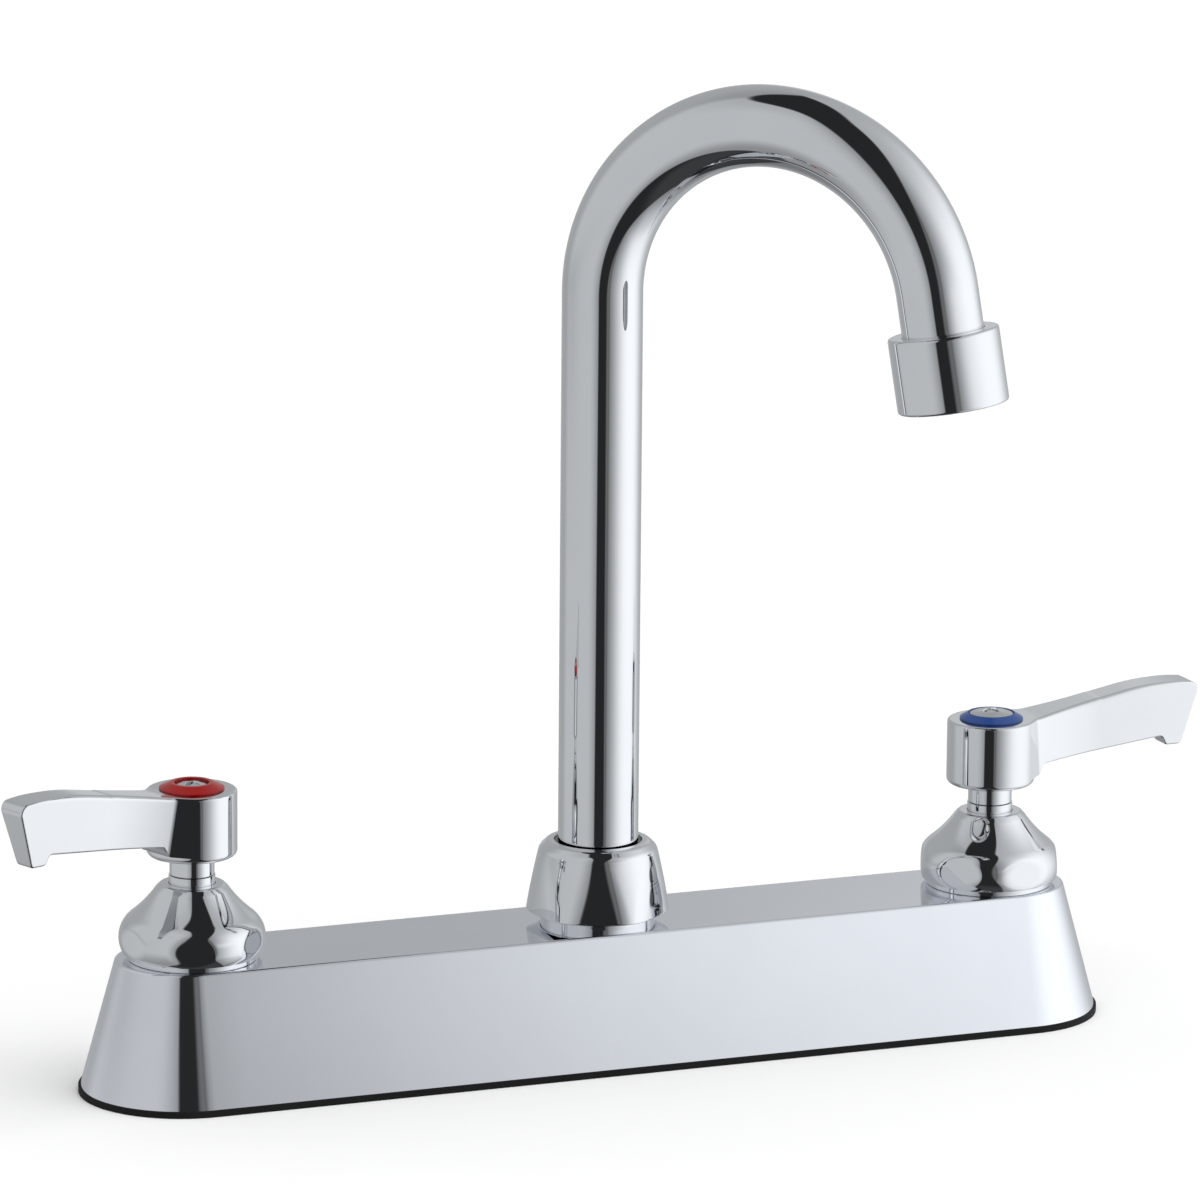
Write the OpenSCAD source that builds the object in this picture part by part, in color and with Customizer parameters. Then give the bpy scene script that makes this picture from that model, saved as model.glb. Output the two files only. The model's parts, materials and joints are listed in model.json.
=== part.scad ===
// Deck-mounted mixer tap: a long cast body, two quarter-turn lever valves and a swivelling gooseneck spout.
// Millimetres, +Z up. X runs along the body with the hot side at -X, and -Y is the user's side.
// The origin is the middle of the gasket's underside, on the deck.

/* [Deck body] */
// Distance between the two valve axes
valve_centres = 203.2; // [160:0.2:260]
// Height of the casting above the gasket
body_h = 30.4; // [28:0.1:40]
// Half width of the casting's flat top
body_top_r = 15.8; // [15:0.1:20]
// Half width of the casting's foot
body_foot_r = 24; // [20:0.1:30]
// How far the round ends' centres lie beyond the valve axes
end_shift = 2.4; // [0:0.1:8]
// Wall of the hollow casting
body_wall = 3; // [2:0.1:4]
// Rounding of the casting's top edge
body_edge = 0.8; // [0.3:0.1:1.5]
// Thickness of the base gasket
gasket_t = 1.6; // [1:0.1:4]
// How far the gasket shows beyond the casting's foot
gasket_lip = 0.5; // [0.1:0.1:1.5]

/* [Inlets and waterway] */
// Radius of the tapped wall of each supply inlet
inlet_r = 9.3; // [7:0.1:10]
// Depth of each tapped inlet
inlet_depth = 9; // [7:0.5:11]
// Thickness of the web between inlet and valve pocket
seat_web = 3; // [2:0.1:4]
// Radius of the water hole in that web
seat_hole_r = 4.5; // [3:0.1:5]
// Radius of the pocket that takes a valve body
pocket_r = 10; // [9.6:0.1:10.6]
// Wall of the bosses round the pockets and round the spout post
boss_wall = 4.4; // [3:0.1:6]
// Radius of the cross waterway
waterway_r = 3.6; // [2:0.1:4.5]
// Wall of the cross waterway's pipe
waterway_wall = 3; // [2:0.1:4]

/* [Valves] */
// Thickness of the rubber seat seal
seal_t = 1.4; // [0.8:0.1:2]
// Radius of the ceramic discs
disc_r = 8.4; // [7.2:0.1:8.6]
// Thickness of each ceramic disc
disc_t = 2; // [1.5:0.1:2.4]
// Radius of the water ports in the discs
port_r = 2; // [1:0.1:2.4]
// Distance of the ports from the valve axis
port_circle_r = 4.6; // [3.4:0.1:5]
// Radius of the stem's driving tang
tang_r = 6.2; // [5:0.1:7]
// Height of the driving tang
tang_h = 3; // [2:0.1:4]
// Radius of the stem where it turns in the valve body
stem_r = 3.95; // [3.6:0.05:4.2]
// Section radius of the stem's sealing ring
stem_ring_r = 0.8; // [0.5:0.1:0.9]
// Radius of the valve body's flange
flange_r = 12.4; // [11:0.1:12.6]
// Thickness of the valve body's flange
flange_t = 2.2; // [1.5:0.1:4]
// Radius of the valve body's threaded neck
valve_neck_r = 6.5; // [6:0.1:6.8]
// Radius of the collar that shows above the bonnet
collar_r = 5.45; // [5.2:0.05:5.8]
// Height of the collar above the bonnet
collar_h = 2; // [1:0.1:4]

/* [Bonnets] */
// Radius of the bonnet over its corners
bonnet_r = 17.3; // [16.9:0.1:19]
// Distance from the axis to the six wrench flats, at the widest place
bonnet_flat = 16; // [15.6:0.05:16.4]
// Inward lean of the wrench flats, in degrees
flat_lean = 8; // [2:0.5:12]
// Height of the bonnet
bonnet_h = 17.4; // [16:0.1:24]
// Radius of the bonnet's bulge in section
bulge_r = 9.6; // [8:0.1:10]
// Height of the widest place above the bonnet's foot
bulge_z = 4.4; // [3.5:0.1:5]
// Radius where the flare meets the bonnet's top
flare_top_r = 8.45; // [8:0.05:9.5]
// Radius of the bonnet's flat top
bonnet_top_r = 7.15; // [6.9:0.05:7.8]
// Height of the bevel round the flat top
bonnet_bevel = 0.6; // [0.3:0.1:1]
// Radius of the thin foot under the bulge
bonnet_lip_r = 14.8; // [14.4:0.1:15.4]
// Height of that foot
bonnet_lip_h = 0.8; // [0.5:0.1:1.2]
// Radius of the hollow inside the bonnet
hollow_r = 13; // [12.8:0.1:13.6]
// Height of that hollow
hollow_h = 8; // [7:0.1:8.5]
// Thickness of the bonnet's roof over the valve neck
roof_t = 2.5; // [2:0.1:4]
// Thickness of the seal under each bonnet
bonnet_seal_t = 0.6; // [0.3:0.1:1.5]
// Where the hot bonnet's flats ended up when it was tightened, in degrees
hot_bonnet_turn = 8.5; // [0:0.5:60]
// Where the cold bonnet's flats ended up when it was tightened, in degrees
cold_bonnet_turn = 38.5; // [0:0.5:60]

/* [Levers] */
// Radius of the lever's hub
hub_r = 10.5; // [9.5:0.1:13]
// Height of the lever's hub
hub_h = 15.8; // [14:0.1:20]
// Rounding of the hub's lower edge
hub_foot_edge = 2.4; // [0.5:0.1:3]
// Rounding of the hub's upper edge
hub_top_edge = 0.7; // [0.3:0.1:1]
// Radius of the neck under the hub
neck_r = 5.12; // [4.8:0.02:6]
// Height of the neck under the hub
neck_h = 4.4; // [3:0.1:10]
// Length of the lever from its axis to the tip
blade_len = 53.6; // [48:0.1:80]
// Width of the blade where it leaves the hub
blade_root_w = 10.4; // [9:0.1:12]
// Width of the blade at the tip
blade_tip_w = 7.3; // [6:0.1:9]
// Lean of the blade's sides, which come closer together downwards, in degrees
blade_draft = 5.5; // [1:0.5:7]
// Radius of the fillets between hub and blade
blade_fillet = 5; // [2:0.1:8]
// Rise of the blade's top above the hub
blade_rise = 4.5; // [2:0.1:8]
// Distance of the tip behind the blade's highest place
peak_setback = 9.3; // [7:0.1:12]
// Height of the blade's underside above the hub's foot, at the hub
blade_foot = 3.7; // [2:0.1:5]
// Rise of the underside from the hub to the hook
blade_lift = 3.2; // [1:0.1:5]
// Drop of the hook under the tip
hook_drop = 2.4; // [1:0.1:4]
// Length of the hook's foot
hook_len = 4.2; // [2.8:0.1:6]
// Slope of the blade's end, in degrees from upright
end_slope = 16.5; // [5:0.5:30]
// Rounding of the tip's upper corner
tip_edge = 2.2; // [0.8:0.1:3]
// Rounding of the hook's corners
hook_edge = 1.1; // [0.4:0.1:1.3]
// Radius of the stem's drive inside the lever
drive_r = 3.5; // [3.2:0.1:3.6]
// Height of the stem's drive inside the lever
drive_h = 9; // [6:0.1:10]
// Turn of the closed hot lever towards the user, in degrees
hot_turn = 20; // [-10:1:30]
// Turn of the closed cold lever towards the user, in degrees
cold_turn = -2; // [-10:1:30]

/* [Index rings and screws] */
// Outer radius of the index ring
ring_r = 7.65; // [7:0.05:9]
// Radius of the ring's upper edge
ring_top_r = 5.4; // [4.8:0.1:6]
// Height of the ring above the hub
ring_h = 2; // [1:0.1:3]
// Radius of the hole that shows the screw
ring_hole_r = 4.2; // [4:0.05:4.5]
// Radius of the ring's spigot in the hub
ring_spigot_r = 5.9; // [5:0.1:6.5]
// Depth of the ring's spigot in the hub
ring_spigot_h = 1.6; // [1:0.1:3]
// Thickness of the floor under the screw's head
ring_floor = 0.8; // [0.5:0.1:1]
// Radius of the screw's shank
screw_r = 1.95; // [1.5:0.05:2.2]
// Radius of the screw's head
screw_head_r = 3.8; // [3.2:0.1:3.9]
// Height of the screw's head
screw_head_h = 3; // [2.4:0.1:3.4]
// Height of the dome on the screw's head
screw_dome_h = 1.3; // [0.6:0.1:1.6]
// Length of the screw's shank
screw_len = 18; // [15:0.5:19]
// Width of the cross recess
recess_w = 0.9; // [0.6:0.1:1.2]
// Depth of the cross recess
recess_depth = 1.4; // [0.8:0.1:1.8]

/* [Spout foot] */
// Radius of the ring that shows under the nut
post_r = 13.57; // [13.2:0.01:14]
// Radius of the post's foot in the casting
post_foot_r = 11; // [10.6:0.1:11.4]
// Largest radius of the spout nut
nut_r = 17.04; // [16.4:0.02:20]
// Radius of the nut's underside
nut_foot_r = 14.3; // [14.2:0.1:15.5]
// Height of the nut
nut_h = 17.9; // [15:0.1:26]
// Gap between the casting and the nut
nut_lift = 1.6; // [0.5:0.1:4]
// Height of the bevel under the nut
nut_bevel = 1.6; // [0.5:0.1:3]
// Radius of the nut's side in section
nut_side_r = 32; // [28:0.5:60]
// Rounding of the nut's upper edge
nut_edge = 1.4; // [0.5:0.1:1.8]
// Radius of the nut's opening round the tube
nut_open_r = 10.5; // [10.2:0.1:11]
// Thickness of the nut's roof
nut_roof = 3.4; // [2.5:0.1:6]
// Thickness of the collar brazed on the tube
spout_collar_t = 2; // [1.5:0.1:4]
// Radius of that collar
spout_collar_r = 12.6; // [11.6:0.1:12.8]
// Thickness of the bearing washer
bearing_t = 0.8; // [0.5:0.1:2]
// Length of the brazed spigot that turns in the post
spigot_len = 11; // [10:0.5:14]
// Section radius of the spout's sealing rings
spout_ring_r = 1.2; // [0.8:0.1:1.3]
// Radius of the spigot's bore
spigot_bore_r = 6; // [4:0.1:6.2]

/* [Spout] */
// Outer radius of the tube
tube_r = 9.525; // [9.2:0.005:9.8]
// Wall of the tube
tube_wall = 1; // [0.8:0.1:1.5]
// Height of the top of the straight riser above the deck
riser_top = 183.6; // [100:0.2:300]
// Radius of the bend on the tube's centre line
bend_r = 42.5; // [32:0.5:80]
// Angle of the bend, in degrees
bend_angle = 170.182; // [120:0.001:180]
// Straight length of tube between the bend and the outlet fitting
outlet_run = 9.3; // [0.5:0.1:40]
// Direction of the spout at rest, in degrees from +X
spout_turn = -46; // [-180:1:180]

/* [Outlet] */
// Outer radius of the outlet fitting
fitting_r = 12.95; // [12.6:0.05:16]
// Height of the outlet fitting
fitting_h = 17.6; // [16:0.1:26]
// Depth of the tube in the fitting
socket_depth = 8; // [5:0.1:8.4]
// Rounding of the fitting's edges
fitting_edge = 0.7; // [0.3:0.1:1.2]
// Radius of the tapped wall that takes the aerator
outlet_thread_r = 11.3; // [11:0.1:11.6]
// Wall of the aerator's shell
aerator_wall = 1.5; // [1:0.1:2]
// Inward lip at the foot of the aerator's shell
aerator_lip = 1; // [0.5:0.1:2]
// Thickness of the lip at the foot of the aerator's shell
aerator_lip_t = 1; // [0.6:0.1:1.5]
// How far the aerator sits inside the fitting's foot
aerator_recess = 0.4; // [0.2:0.1:1.5]
// Thickness of the aerator's washer
washer_t = 1.4; // [0.8:0.1:2]
// Thickness of the aerator's screen
screen_t = 0.6; // [0.3:0.1:1]
// Radius of the holes in the flow straightener
jet_r = 0.8; // [0.4:0.05:0.9]
// Distance between the holes in the flow straightener
jet_pitch = 3; // [2.4:0.1:3.4]

/* [Clearances] */
// Gap between fixed pieces that slide together when assembled
fit_gap = 0.1; // [0.05:0.01:0.15]
// Gap round a shaft that turns in its bore
run_gap = 0.06; // [0.03:0.01:0.09]
// Gap between flat faces that turn on each other
face_gap = 0.1; // [0.05:0.01:0.3]
// Gap between the turning lever and the fixed collar
handle_gap = 0.3; // [0.2:0.05:1]

/* [Hidden] */
$fn = 96;
past = 1;
chrome = "#C9CDD2";
brass = "#C8A24C";
rubber = "#1B1B1D";
ceramic = "#F1EEE6";
nylon = "#ECEAE2";
hot_red = "#B01A1C";
cold_blue = "#2F55A0";
steel = "#B4B7BA";

valve_x = valve_centres / 2;
end_x = valve_x + end_shift;
deck_top = gasket_t + body_h;
draft = atan2(body_foot_r - body_top_r, body_h);

// Stack of the valve, from the seat upwards
seat_z = gasket_t + inlet_depth + seat_web;
fixed_disc_z = seat_z + seal_t;
moving_disc_z = fixed_disc_z + disc_t + face_gap;
tang_z = moving_disc_z + disc_t;
tang_top = tang_z + tang_h;
chamber_top = tang_top + face_gap;
chamber_r = disc_r + fit_gap;
barrel_r = pocket_r - fit_gap;
valve_bore_r = stem_r + run_gap;
flange_top = deck_top + flange_t;
bonnet_z = deck_top + bonnet_seal_t;
bonnet_top = bonnet_z + bonnet_h;
valve_shoulder = bonnet_top - roof_t;
collar_top = bonnet_top + collar_h;
handle_z = collar_top + handle_gap;
hub_z = handle_z + neck_h;
hub_top = hub_z + hub_h;
drive_top = handle_z + drive_h;
ring_z = hub_top - ring_spigot_h;
head_z = ring_z + ring_floor;
tap_r = screw_r + fit_gap;
stem_ring_z = (flange_top + valve_shoulder) / 2;

// Cross waterway and spout chamber
waterway_z = tang_z + tang_h / 2;
boss_r = pocket_r + boss_wall;
post_seat_z = waterway_z + waterway_r + waterway_wall / 4;
chamber_z = waterway_z - waterway_r - waterway_wall / 2;
post_bore_r = tube_r + run_gap;
post_boss_r = post_foot_r + boss_wall;

// Foot of the spout, from the deck upwards
nut_z = deck_top + nut_lift;
nut_top = nut_z + nut_h;
nut_wide_z = nut_z + nut_bevel;
nut_ceiling = nut_top - nut_roof;
bearing_z = nut_ceiling - bearing_t;
spout_collar_z = bearing_z - face_gap - spout_collar_t;
post_top = spout_collar_z - face_gap;
tube_bore_r = tube_r - tube_wall;
spigot_z = post_seat_z + fit_gap;
tube_foot = spigot_z + spigot_len;
nut_side_x = nut_r - nut_side_r;
nut_top_r = nut_side_x + sqrt(nut_side_r * nut_side_r - (nut_top - nut_wide_z) * (nut_top - nut_wide_z));

// Blade of the lever, seen from the side with the hub's foot at height 0
blade_peak = blade_len - peak_setback;
blade_start = 0.76 * hub_r;
rise_angle = 2 * atan2(blade_rise, blade_peak - blade_start);
rise_sum = (blade_peak - blade_start) / sin(rise_angle);
dip_share = 2 / 3;
dip_r = dip_share * rise_sum;
crown_r = rise_sum - dip_r;
turn_u = blade_start + dip_r * sin(rise_angle);
blade_top = hub_h + blade_rise;
crown = [blade_peak, blade_top - crown_r];
tip_reach = crown_r - tip_edge;
tip_ahead = peak_setback - tip_edge;
tip_centre = [blade_len - tip_edge, crown.y + sqrt(tip_reach * tip_reach - tip_ahead * tip_ahead)];
tip_end = tip_centre + tip_edge * [cos(end_slope), -sin(end_slope)];
tip_top = crown + crown_r / tip_reach * (tip_centre - crown);
hook_foot = blade_foot + blade_lift - hook_drop;
end_foot_u = tip_end.x - (tip_end.y - hook_foot) * tan(end_slope);

// Blade of the lever, seen from above
blade_root = blade_root_w / 2;
blade_run_out = blade_len + past;
taper = (blade_root_w - blade_tip_w) / 2 / blade_len;
taper_slope = atan(taper);
taper_sq = 1 + taper * taper;
fillet_reach = hub_r + blade_fillet;
fillet_gap = blade_root + blade_fillet / cos(taper_slope);
fillet_u = (taper * fillet_gap + sqrt(fillet_reach * fillet_reach * taper_sq - fillet_gap * fillet_gap)) / taper_sq;
fillet_centre = [fillet_u, fillet_gap - taper * fillet_u];

// Flow straightener and aerator, from the fitting's top down
aerator_r = outlet_thread_r - fit_gap;
washer_z = socket_depth;
aerator_z = washer_z + washer_t;
aerator_foot = fitting_h - aerator_recess;
insert_r = aerator_r - aerator_wall - fit_gap;
straightener_z = aerator_z + screen_t;
straightener_foot = aerator_foot - aerator_lip_t;
jet_rings = floor((insert_r - jet_r - jet_pitch / 4) / jet_pitch);

// Plane outline with rounded corners: each corner is [x, y, radius], listed counter-clockwise.
function unit(v) = v / norm(v);
function flat(c) = [c.x, c.y];
function before(c, i) = flat(c[(i + len(c) - 1) % len(c)]);
function after(c, i) = flat(c[(i + 1) % len(c)]);
function half_angle(c, i) =
    acos(unit(before(c, i) - flat(c[i])) * unit(after(c, i) - flat(c[i]))) / 2;
function tangent_points(c, i) =
    let (reach = c[i].z / tan(half_angle(c, i)))
    [for (end = [before(c, i), after(c, i)]) flat(c[i]) + reach * unit(end - flat(c[i]))];
function arc_centre(c, i) =
    flat(c[i]) + c[i].z / sin(half_angle(c, i))
        * unit(unit(before(c, i) - flat(c[i])) + unit(after(c, i) - flat(c[i])));

module eased(c) {
    polygon([for (i = [0:len(c) - 1]) each c[i].z > 0 ? tangent_points(c, i) : [flat(c[i])]]);
    for (i = [0:len(c) - 1])
        if (c[i].z > 0)
            translate(arc_centre(c, i)) circle(c[i].z);
}

module ring_plane(outer, inner) {
    difference() {
        circle(outer);
        circle(inner);
    }
}

module tube(outer, inner, h) {
    linear_extrude(h) ring_plane(outer, inner);
}

module sealing_ring(outer, section) {
    rotate_extrude() translate([outer - section, 0]) circle(section);
}

// Both sides: the children stand on the hot axis or on the cold axis.
module on_hot() { translate([-valve_x, 0, 0]) children(); }
module on_cold() { translate([valve_x, 0, 0]) children(); }
module as_hot_handle() { on_hot() rotate([0, 0, 180 + hot_turn]) children(); }
module as_cold_handle() { on_cold() rotate([0, 0, -cold_turn]) children(); }

// Deck body: a half profile is run straight between the valves and turned round both ends.
module round_ended(half_length) {
    for (side = [0, 180])
        rotate([0, 0, side]) translate([half_length, 0, 0]) rotate([0, 0, -90])
            rotate_extrude(angle = 180) children();
    rotate([90, 0, 90]) linear_extrude(2 * half_length, center = true) {
        children();
        mirror([1, 0]) children();
    }
}

module body_profile() {
    eased([
        [0, gasket_t, 0],
        [body_foot_r, gasket_t, 0],
        [body_top_r, deck_top, body_edge],
        [0, deck_top, 0]
    ]);
}

module hollow_profile() {
    roof = deck_top - body_wall;
    skin = body_wall / cos(draft);
    polygon([
        [0, gasket_t - past],
        [body_foot_r - skin + past * tan(draft), gasket_t - past],
        [body_top_r - skin + body_wall * tan(draft), roof],
        [0, roof]
    ]);
}

module base_gasket() {
    color(rubber) difference() {
        linear_extrude(gasket_t) {
            square([2 * end_x, 2 * (body_foot_r + gasket_lip)], center = true);
            for (side = [-1, 1]) translate([side * end_x, 0]) circle(body_foot_r + gasket_lip);
        }
        for (side = [-1, 1])
            translate([side * valve_x, 0, -past]) cylinder(r = inlet_r + gasket_lip, h = gasket_t + 2 * past);
    }
}

module waterway(r) {
    translate([-valve_x, 0, waterway_z]) rotate([0, 90, 0]) cylinder(r = r, h = valve_centres);
}

module bosses() {
    for (side = [-1, 1])
        translate([side * valve_x, 0, gasket_t]) cylinder(r = boss_r, h = body_h);
    translate([0, 0, gasket_t]) cylinder(r = post_boss_r, h = body_h);
    waterway(waterway_r + waterway_wall);
}

module valve_pocket() {
    translate([0, 0, gasket_t - past]) cylinder(r = inlet_r, h = inlet_depth + past);
    translate([0, 0, gasket_t]) cylinder(r = seat_hole_r, h = body_h);
    translate([0, 0, seat_z]) cylinder(r = pocket_r, h = deck_top - seat_z + past);
}

module deck_body() {
    color(chrome) difference() {
        round_ended(end_x) body_profile();
        difference() {
            round_ended(end_x) hollow_profile();
            bosses();
        }
        on_hot() valve_pocket();
        on_cold() valve_pocket();
        waterway(waterway_r);
        translate([0, 0, chamber_z]) cylinder(r = post_bore_r, h = body_h);
        translate([0, 0, post_seat_z]) cylinder(r = post_foot_r + fit_gap, h = body_h);
    }
}

// Valve pieces, each on its own axis
module seat_seal() {
    color(rubber) translate([0, 0, seat_z]) tube(disc_r, seat_hole_r, seal_t);
}

module disc(z, port_angle) {
    color(ceramic) translate([0, 0, z]) linear_extrude(disc_t) difference() {
        circle(disc_r);
        for (half = [0, 180])
            rotate(port_angle + half) translate([port_circle_r, 0]) circle(port_r);
    }
}

module fixed_disc() { disc(fixed_disc_z, 0); }
module moving_disc() { disc(moving_disc_z, 90); }

module valve_body() {
    color(brass) difference() {
        union() {
            translate([0, 0, seat_z]) cylinder(r = barrel_r, h = deck_top - seat_z);
            translate([0, 0, deck_top]) cylinder(r = flange_r, h = flange_t);
            translate([0, 0, deck_top]) cylinder(r = valve_neck_r, h = valve_shoulder - deck_top);
            translate([0, 0, deck_top]) cylinder(r = collar_r, h = collar_top - deck_top);
        }
        translate([0, 0, seat_z - past]) cylinder(r = chamber_r, h = chamber_top - seat_z + past);
        translate([0, 0, seat_z]) cylinder(r = valve_bore_r, h = collar_top);
        translate([-pocket_r, 0, waterway_z]) rotate([0, 90, 0]) cylinder(r = port_r, h = 2 * pocket_r);
    }
}

module stem() {
    color(brass) difference() {
        union() {
            translate([0, 0, tang_z]) cylinder(r = tang_r, h = tang_h);
            translate([0, 0, tang_z]) cylinder(r = stem_r, h = handle_z - tang_z);
            translate([0, 0, tang_z]) cylinder(r = drive_r, h = drive_top - tang_z);
        }
        translate([0, 0, stem_ring_z - stem_ring_r - fit_gap])
            tube(stem_r + past, stem_r - 2 * stem_ring_r - fit_gap, 2 * (stem_ring_r + fit_gap));
        translate([0, 0, head_z - screw_len - past]) cylinder(r = tap_r, h = screw_len);
    }
}

module stem_ring() {
    color(rubber) translate([0, 0, stem_ring_z]) sealing_ring(stem_r, stem_ring_r);
}

module bonnet_seal() {
    color(rubber) translate([0, 0, deck_top]) tube(bonnet_lip_r, hollow_r, bonnet_seal_t);
}

// Bell of the bonnet: a round bulge runs into a hollow flare that touches it.
module bonnet_profile() {
    bulge = [bonnet_r - bulge_r, bulge_z];
    climb = bonnet_h + past - bulge_z;
    inset = flare_top_r - bulge.x;
    flare_r = (climb * climb + inset * inset - bulge_r * bulge_r) / (2 * (bulge_r - inset));
    flare = [flare_top_r + flare_r, bonnet_h + past];
    meet = bulge + bulge_r / (bulge_r + flare_r) * (flare - bulge);
    square([bonnet_lip_r, 2 * bonnet_lip_h]);
    difference() {
        union() {
            intersection() {
                translate(bulge) circle(bulge_r);
                translate([0, bonnet_lip_h]) square([bonnet_r + past, meet.y - bonnet_lip_h]);
            }
            translate([0, bonnet_lip_h]) square([bulge.x, meet.y - bonnet_lip_h]);
            polygon([
                [0, bonnet_lip_h], [bulge.x, bonnet_lip_h], meet,
                [flare_top_r + past, bonnet_h - bonnet_bevel],
                [flare_top_r, bonnet_h - bonnet_bevel],
                [bonnet_top_r, bonnet_h], [0, bonnet_h]
            ]);
        }
        translate(flare) circle(flare_r);
    }
}

module bonnet(turn) {
    color(chrome) translate([0, 0, bonnet_z]) difference() {
        rotate_extrude() bonnet_profile();
        for (side = [0:5])
            rotate([0, 0, turn + 60 * side]) translate([bonnet_flat, 0, bulge_z]) rotate([0, -flat_lean, 0])
                translate([0, -bonnet_r, -bonnet_h]) cube([bonnet_r, 2 * bonnet_r, 2 * bonnet_h]);
        translate([0, 0, -past]) cylinder(r = hollow_r, h = hollow_h + past);
        translate([0, 0, -past]) cylinder(r = valve_neck_r + fit_gap, h = bonnet_h - roof_t + past);
        cylinder(r = collar_r + fit_gap, h = bonnet_h + past);
    }
}

// Lever: hub and neck are turned, the blade is its plan cut to its side view.
module blade_half() {
    polygon([
        [-blade_root, -2 * hub_r], [blade_run_out, -2 * hub_r],
        [blade_run_out, blade_root - taper * blade_run_out], [0, blade_root], [-blade_root, blade_root]
    ]);
}

module hub_fillet() {
    fillet_end = fillet_centre.x - blade_fillet * sin(taper_slope);
    difference() {
        polygon([[0, 0], [fillet_end, 0], [fillet_end, fillet_centre.y], fillet_centre]);
        translate(fillet_centre) circle(blade_fillet);
    }
}

module blade_side() {
    notch = [end_foot_u - hook_len, blade_foot + blade_lift];
    intersection() {
        union() {
            translate([-hub_r, 0]) square([hub_r + blade_start, hub_h]);
            difference() {
                translate([blade_start, 0]) square([turn_u - blade_start, blade_top]);
                translate([blade_start, hub_h + dip_r]) circle(dip_r);
            }
            intersection() {
                translate([turn_u, 0]) square([blade_len - turn_u, blade_top + past]);
                translate(crown) circle(crown_r);
            }
        }
        eased([
            [-hub_r, blade_foot, 0],
            [hub_r, blade_foot, 0],
            [notch.x - hook_drop / 2, notch.y, 0],
            [notch.x, hook_foot, hook_edge],
            [end_foot_u, hook_foot, hook_edge],
            [tip_end.x, tip_end.y, 0],
            [tip_top.x, tip_top.y, 0],
            [tip_top.x, blade_top + past, 0],
            [-hub_r, blade_top + past, 0]
        ]);
    }
    translate(tip_centre) circle(tip_edge);
}

module leaning() {
    translate([0, 0, hub_h]) rotate([-blade_draft, 0, 0]) translate([0, 0, -hub_h - hub_r])
        linear_extrude(blade_top + 2 * hub_r) children();
}

module side_slab() {
    rotate([90, 0, 0]) linear_extrude(2 * hub_r, center = true) blade_side();
}

module blade() {
    intersection() {
        leaning() blade_half();
        mirror([0, 1, 0]) leaning() blade_half();
        side_slab();
    }
    for (side = [0, 1]) mirror([0, side, 0]) intersection() {
        leaning() hub_fillet();
        side_slab();
    }
}

module lever() {
    color(chrome) difference() {
        union() {
            translate([0, 0, handle_z]) cylinder(r = neck_r, h = neck_h + hub_h / 2);
            translate([0, 0, hub_z]) rotate_extrude() eased([
                [0, 0, 0], [hub_r, 0, hub_foot_edge], [hub_r, hub_h, hub_top_edge], [0, hub_h, 0]
            ]);
            translate([0, 0, hub_z]) blade();
        }
        translate([0, 0, handle_z - past]) cylinder(r = drive_r + fit_gap, h = drive_h + fit_gap + past);
        translate([0, 0, handle_z]) cylinder(r = tap_r, h = hub_top - handle_z);
        translate([0, 0, ring_z]) cylinder(r = ring_spigot_r + fit_gap, h = ring_spigot_h + past);
    }
}

module index_ring(shade) {
    color(shade) translate([0, 0, ring_z]) difference() {
        rotate_extrude() polygon([
            [0, 0], [ring_spigot_r, 0], [ring_spigot_r, ring_spigot_h], [ring_r, ring_spigot_h],
            [ring_r, ring_spigot_h + ring_h / 5], [ring_top_r, ring_spigot_h + ring_h], [0, ring_spigot_h + ring_h]
        ]);
        translate([0, 0, -past]) cylinder(r = tap_r, h = ring_floor + 2 * past);
        translate([0, 0, ring_floor]) cylinder(r = ring_hole_r, h = ring_spigot_h + ring_h);
    }
}

module screw() {
    dome_r = (screw_head_r * screw_head_r + screw_dome_h * screw_dome_h) / (2 * screw_dome_h);
    color(steel) translate([0, 0, head_z]) difference() {
        union() {
            translate([0, 0, -screw_len]) cylinder(r = screw_r, h = screw_len + screw_head_h / 2);
            rotate_extrude() intersection() {
                translate([0, screw_head_h - dome_r]) circle(dome_r);
                square([screw_head_r, screw_head_h]);
            }
        }
        for (arm = [0, 90]) rotate([0, 0, arm])
            translate([-screw_head_r / 2, -recess_w / 2, screw_head_h - recess_depth])
                cube([screw_head_r, recess_w, recess_depth + past]);
    }
}

// Foot of the spout
module spout_post() {
    color(chrome) difference() {
        union() {
            translate([0, 0, post_seat_z]) cylinder(r = post_foot_r, h = post_top - post_seat_z);
            translate([0, 0, deck_top]) cylinder(r = post_r, h = post_top - deck_top);
        }
        translate([0, 0, post_seat_z - past]) cylinder(r = post_bore_r, h = post_top - post_seat_z + 2 * past);
    }
}

module nut_profile() {
    intersection() {
        translate([nut_side_x, nut_wide_z]) circle(nut_side_r);
        eased([
            [0, nut_z, 0], [nut_foot_r, nut_z, 0], [nut_r, nut_wide_z, 0],
            [nut_r, (nut_wide_z + nut_top) / 2, 0],
            [nut_top_r + nut_edge, nut_top - nut_edge, 0], [nut_top_r - nut_edge / 2, nut_top, nut_edge / 2],
            [0, nut_top, 0]
        ]);
    }
}

module spout_nut() {
    color(chrome) difference() {
        rotate_extrude() nut_profile();
        translate([0, 0, nut_z - past]) cylinder(r = post_r + fit_gap, h = nut_ceiling - nut_z + past);
        translate([0, 0, nut_z]) cylinder(r = nut_open_r, h = nut_h + past);
    }
}

module spout_bearing() {
    color(nylon) translate([0, 0, bearing_z]) tube(post_r, tube_r + fit_gap, bearing_t);
}

// Turning spout
module in_spout() { rotate([0, 0, spout_turn]) children(); }

module at_outlet() {
    in_spout() translate([bend_r, 0, riser_top]) rotate([0, bend_angle, 0])
        translate([-bend_r, 0, outlet_run]) children();
}

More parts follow.
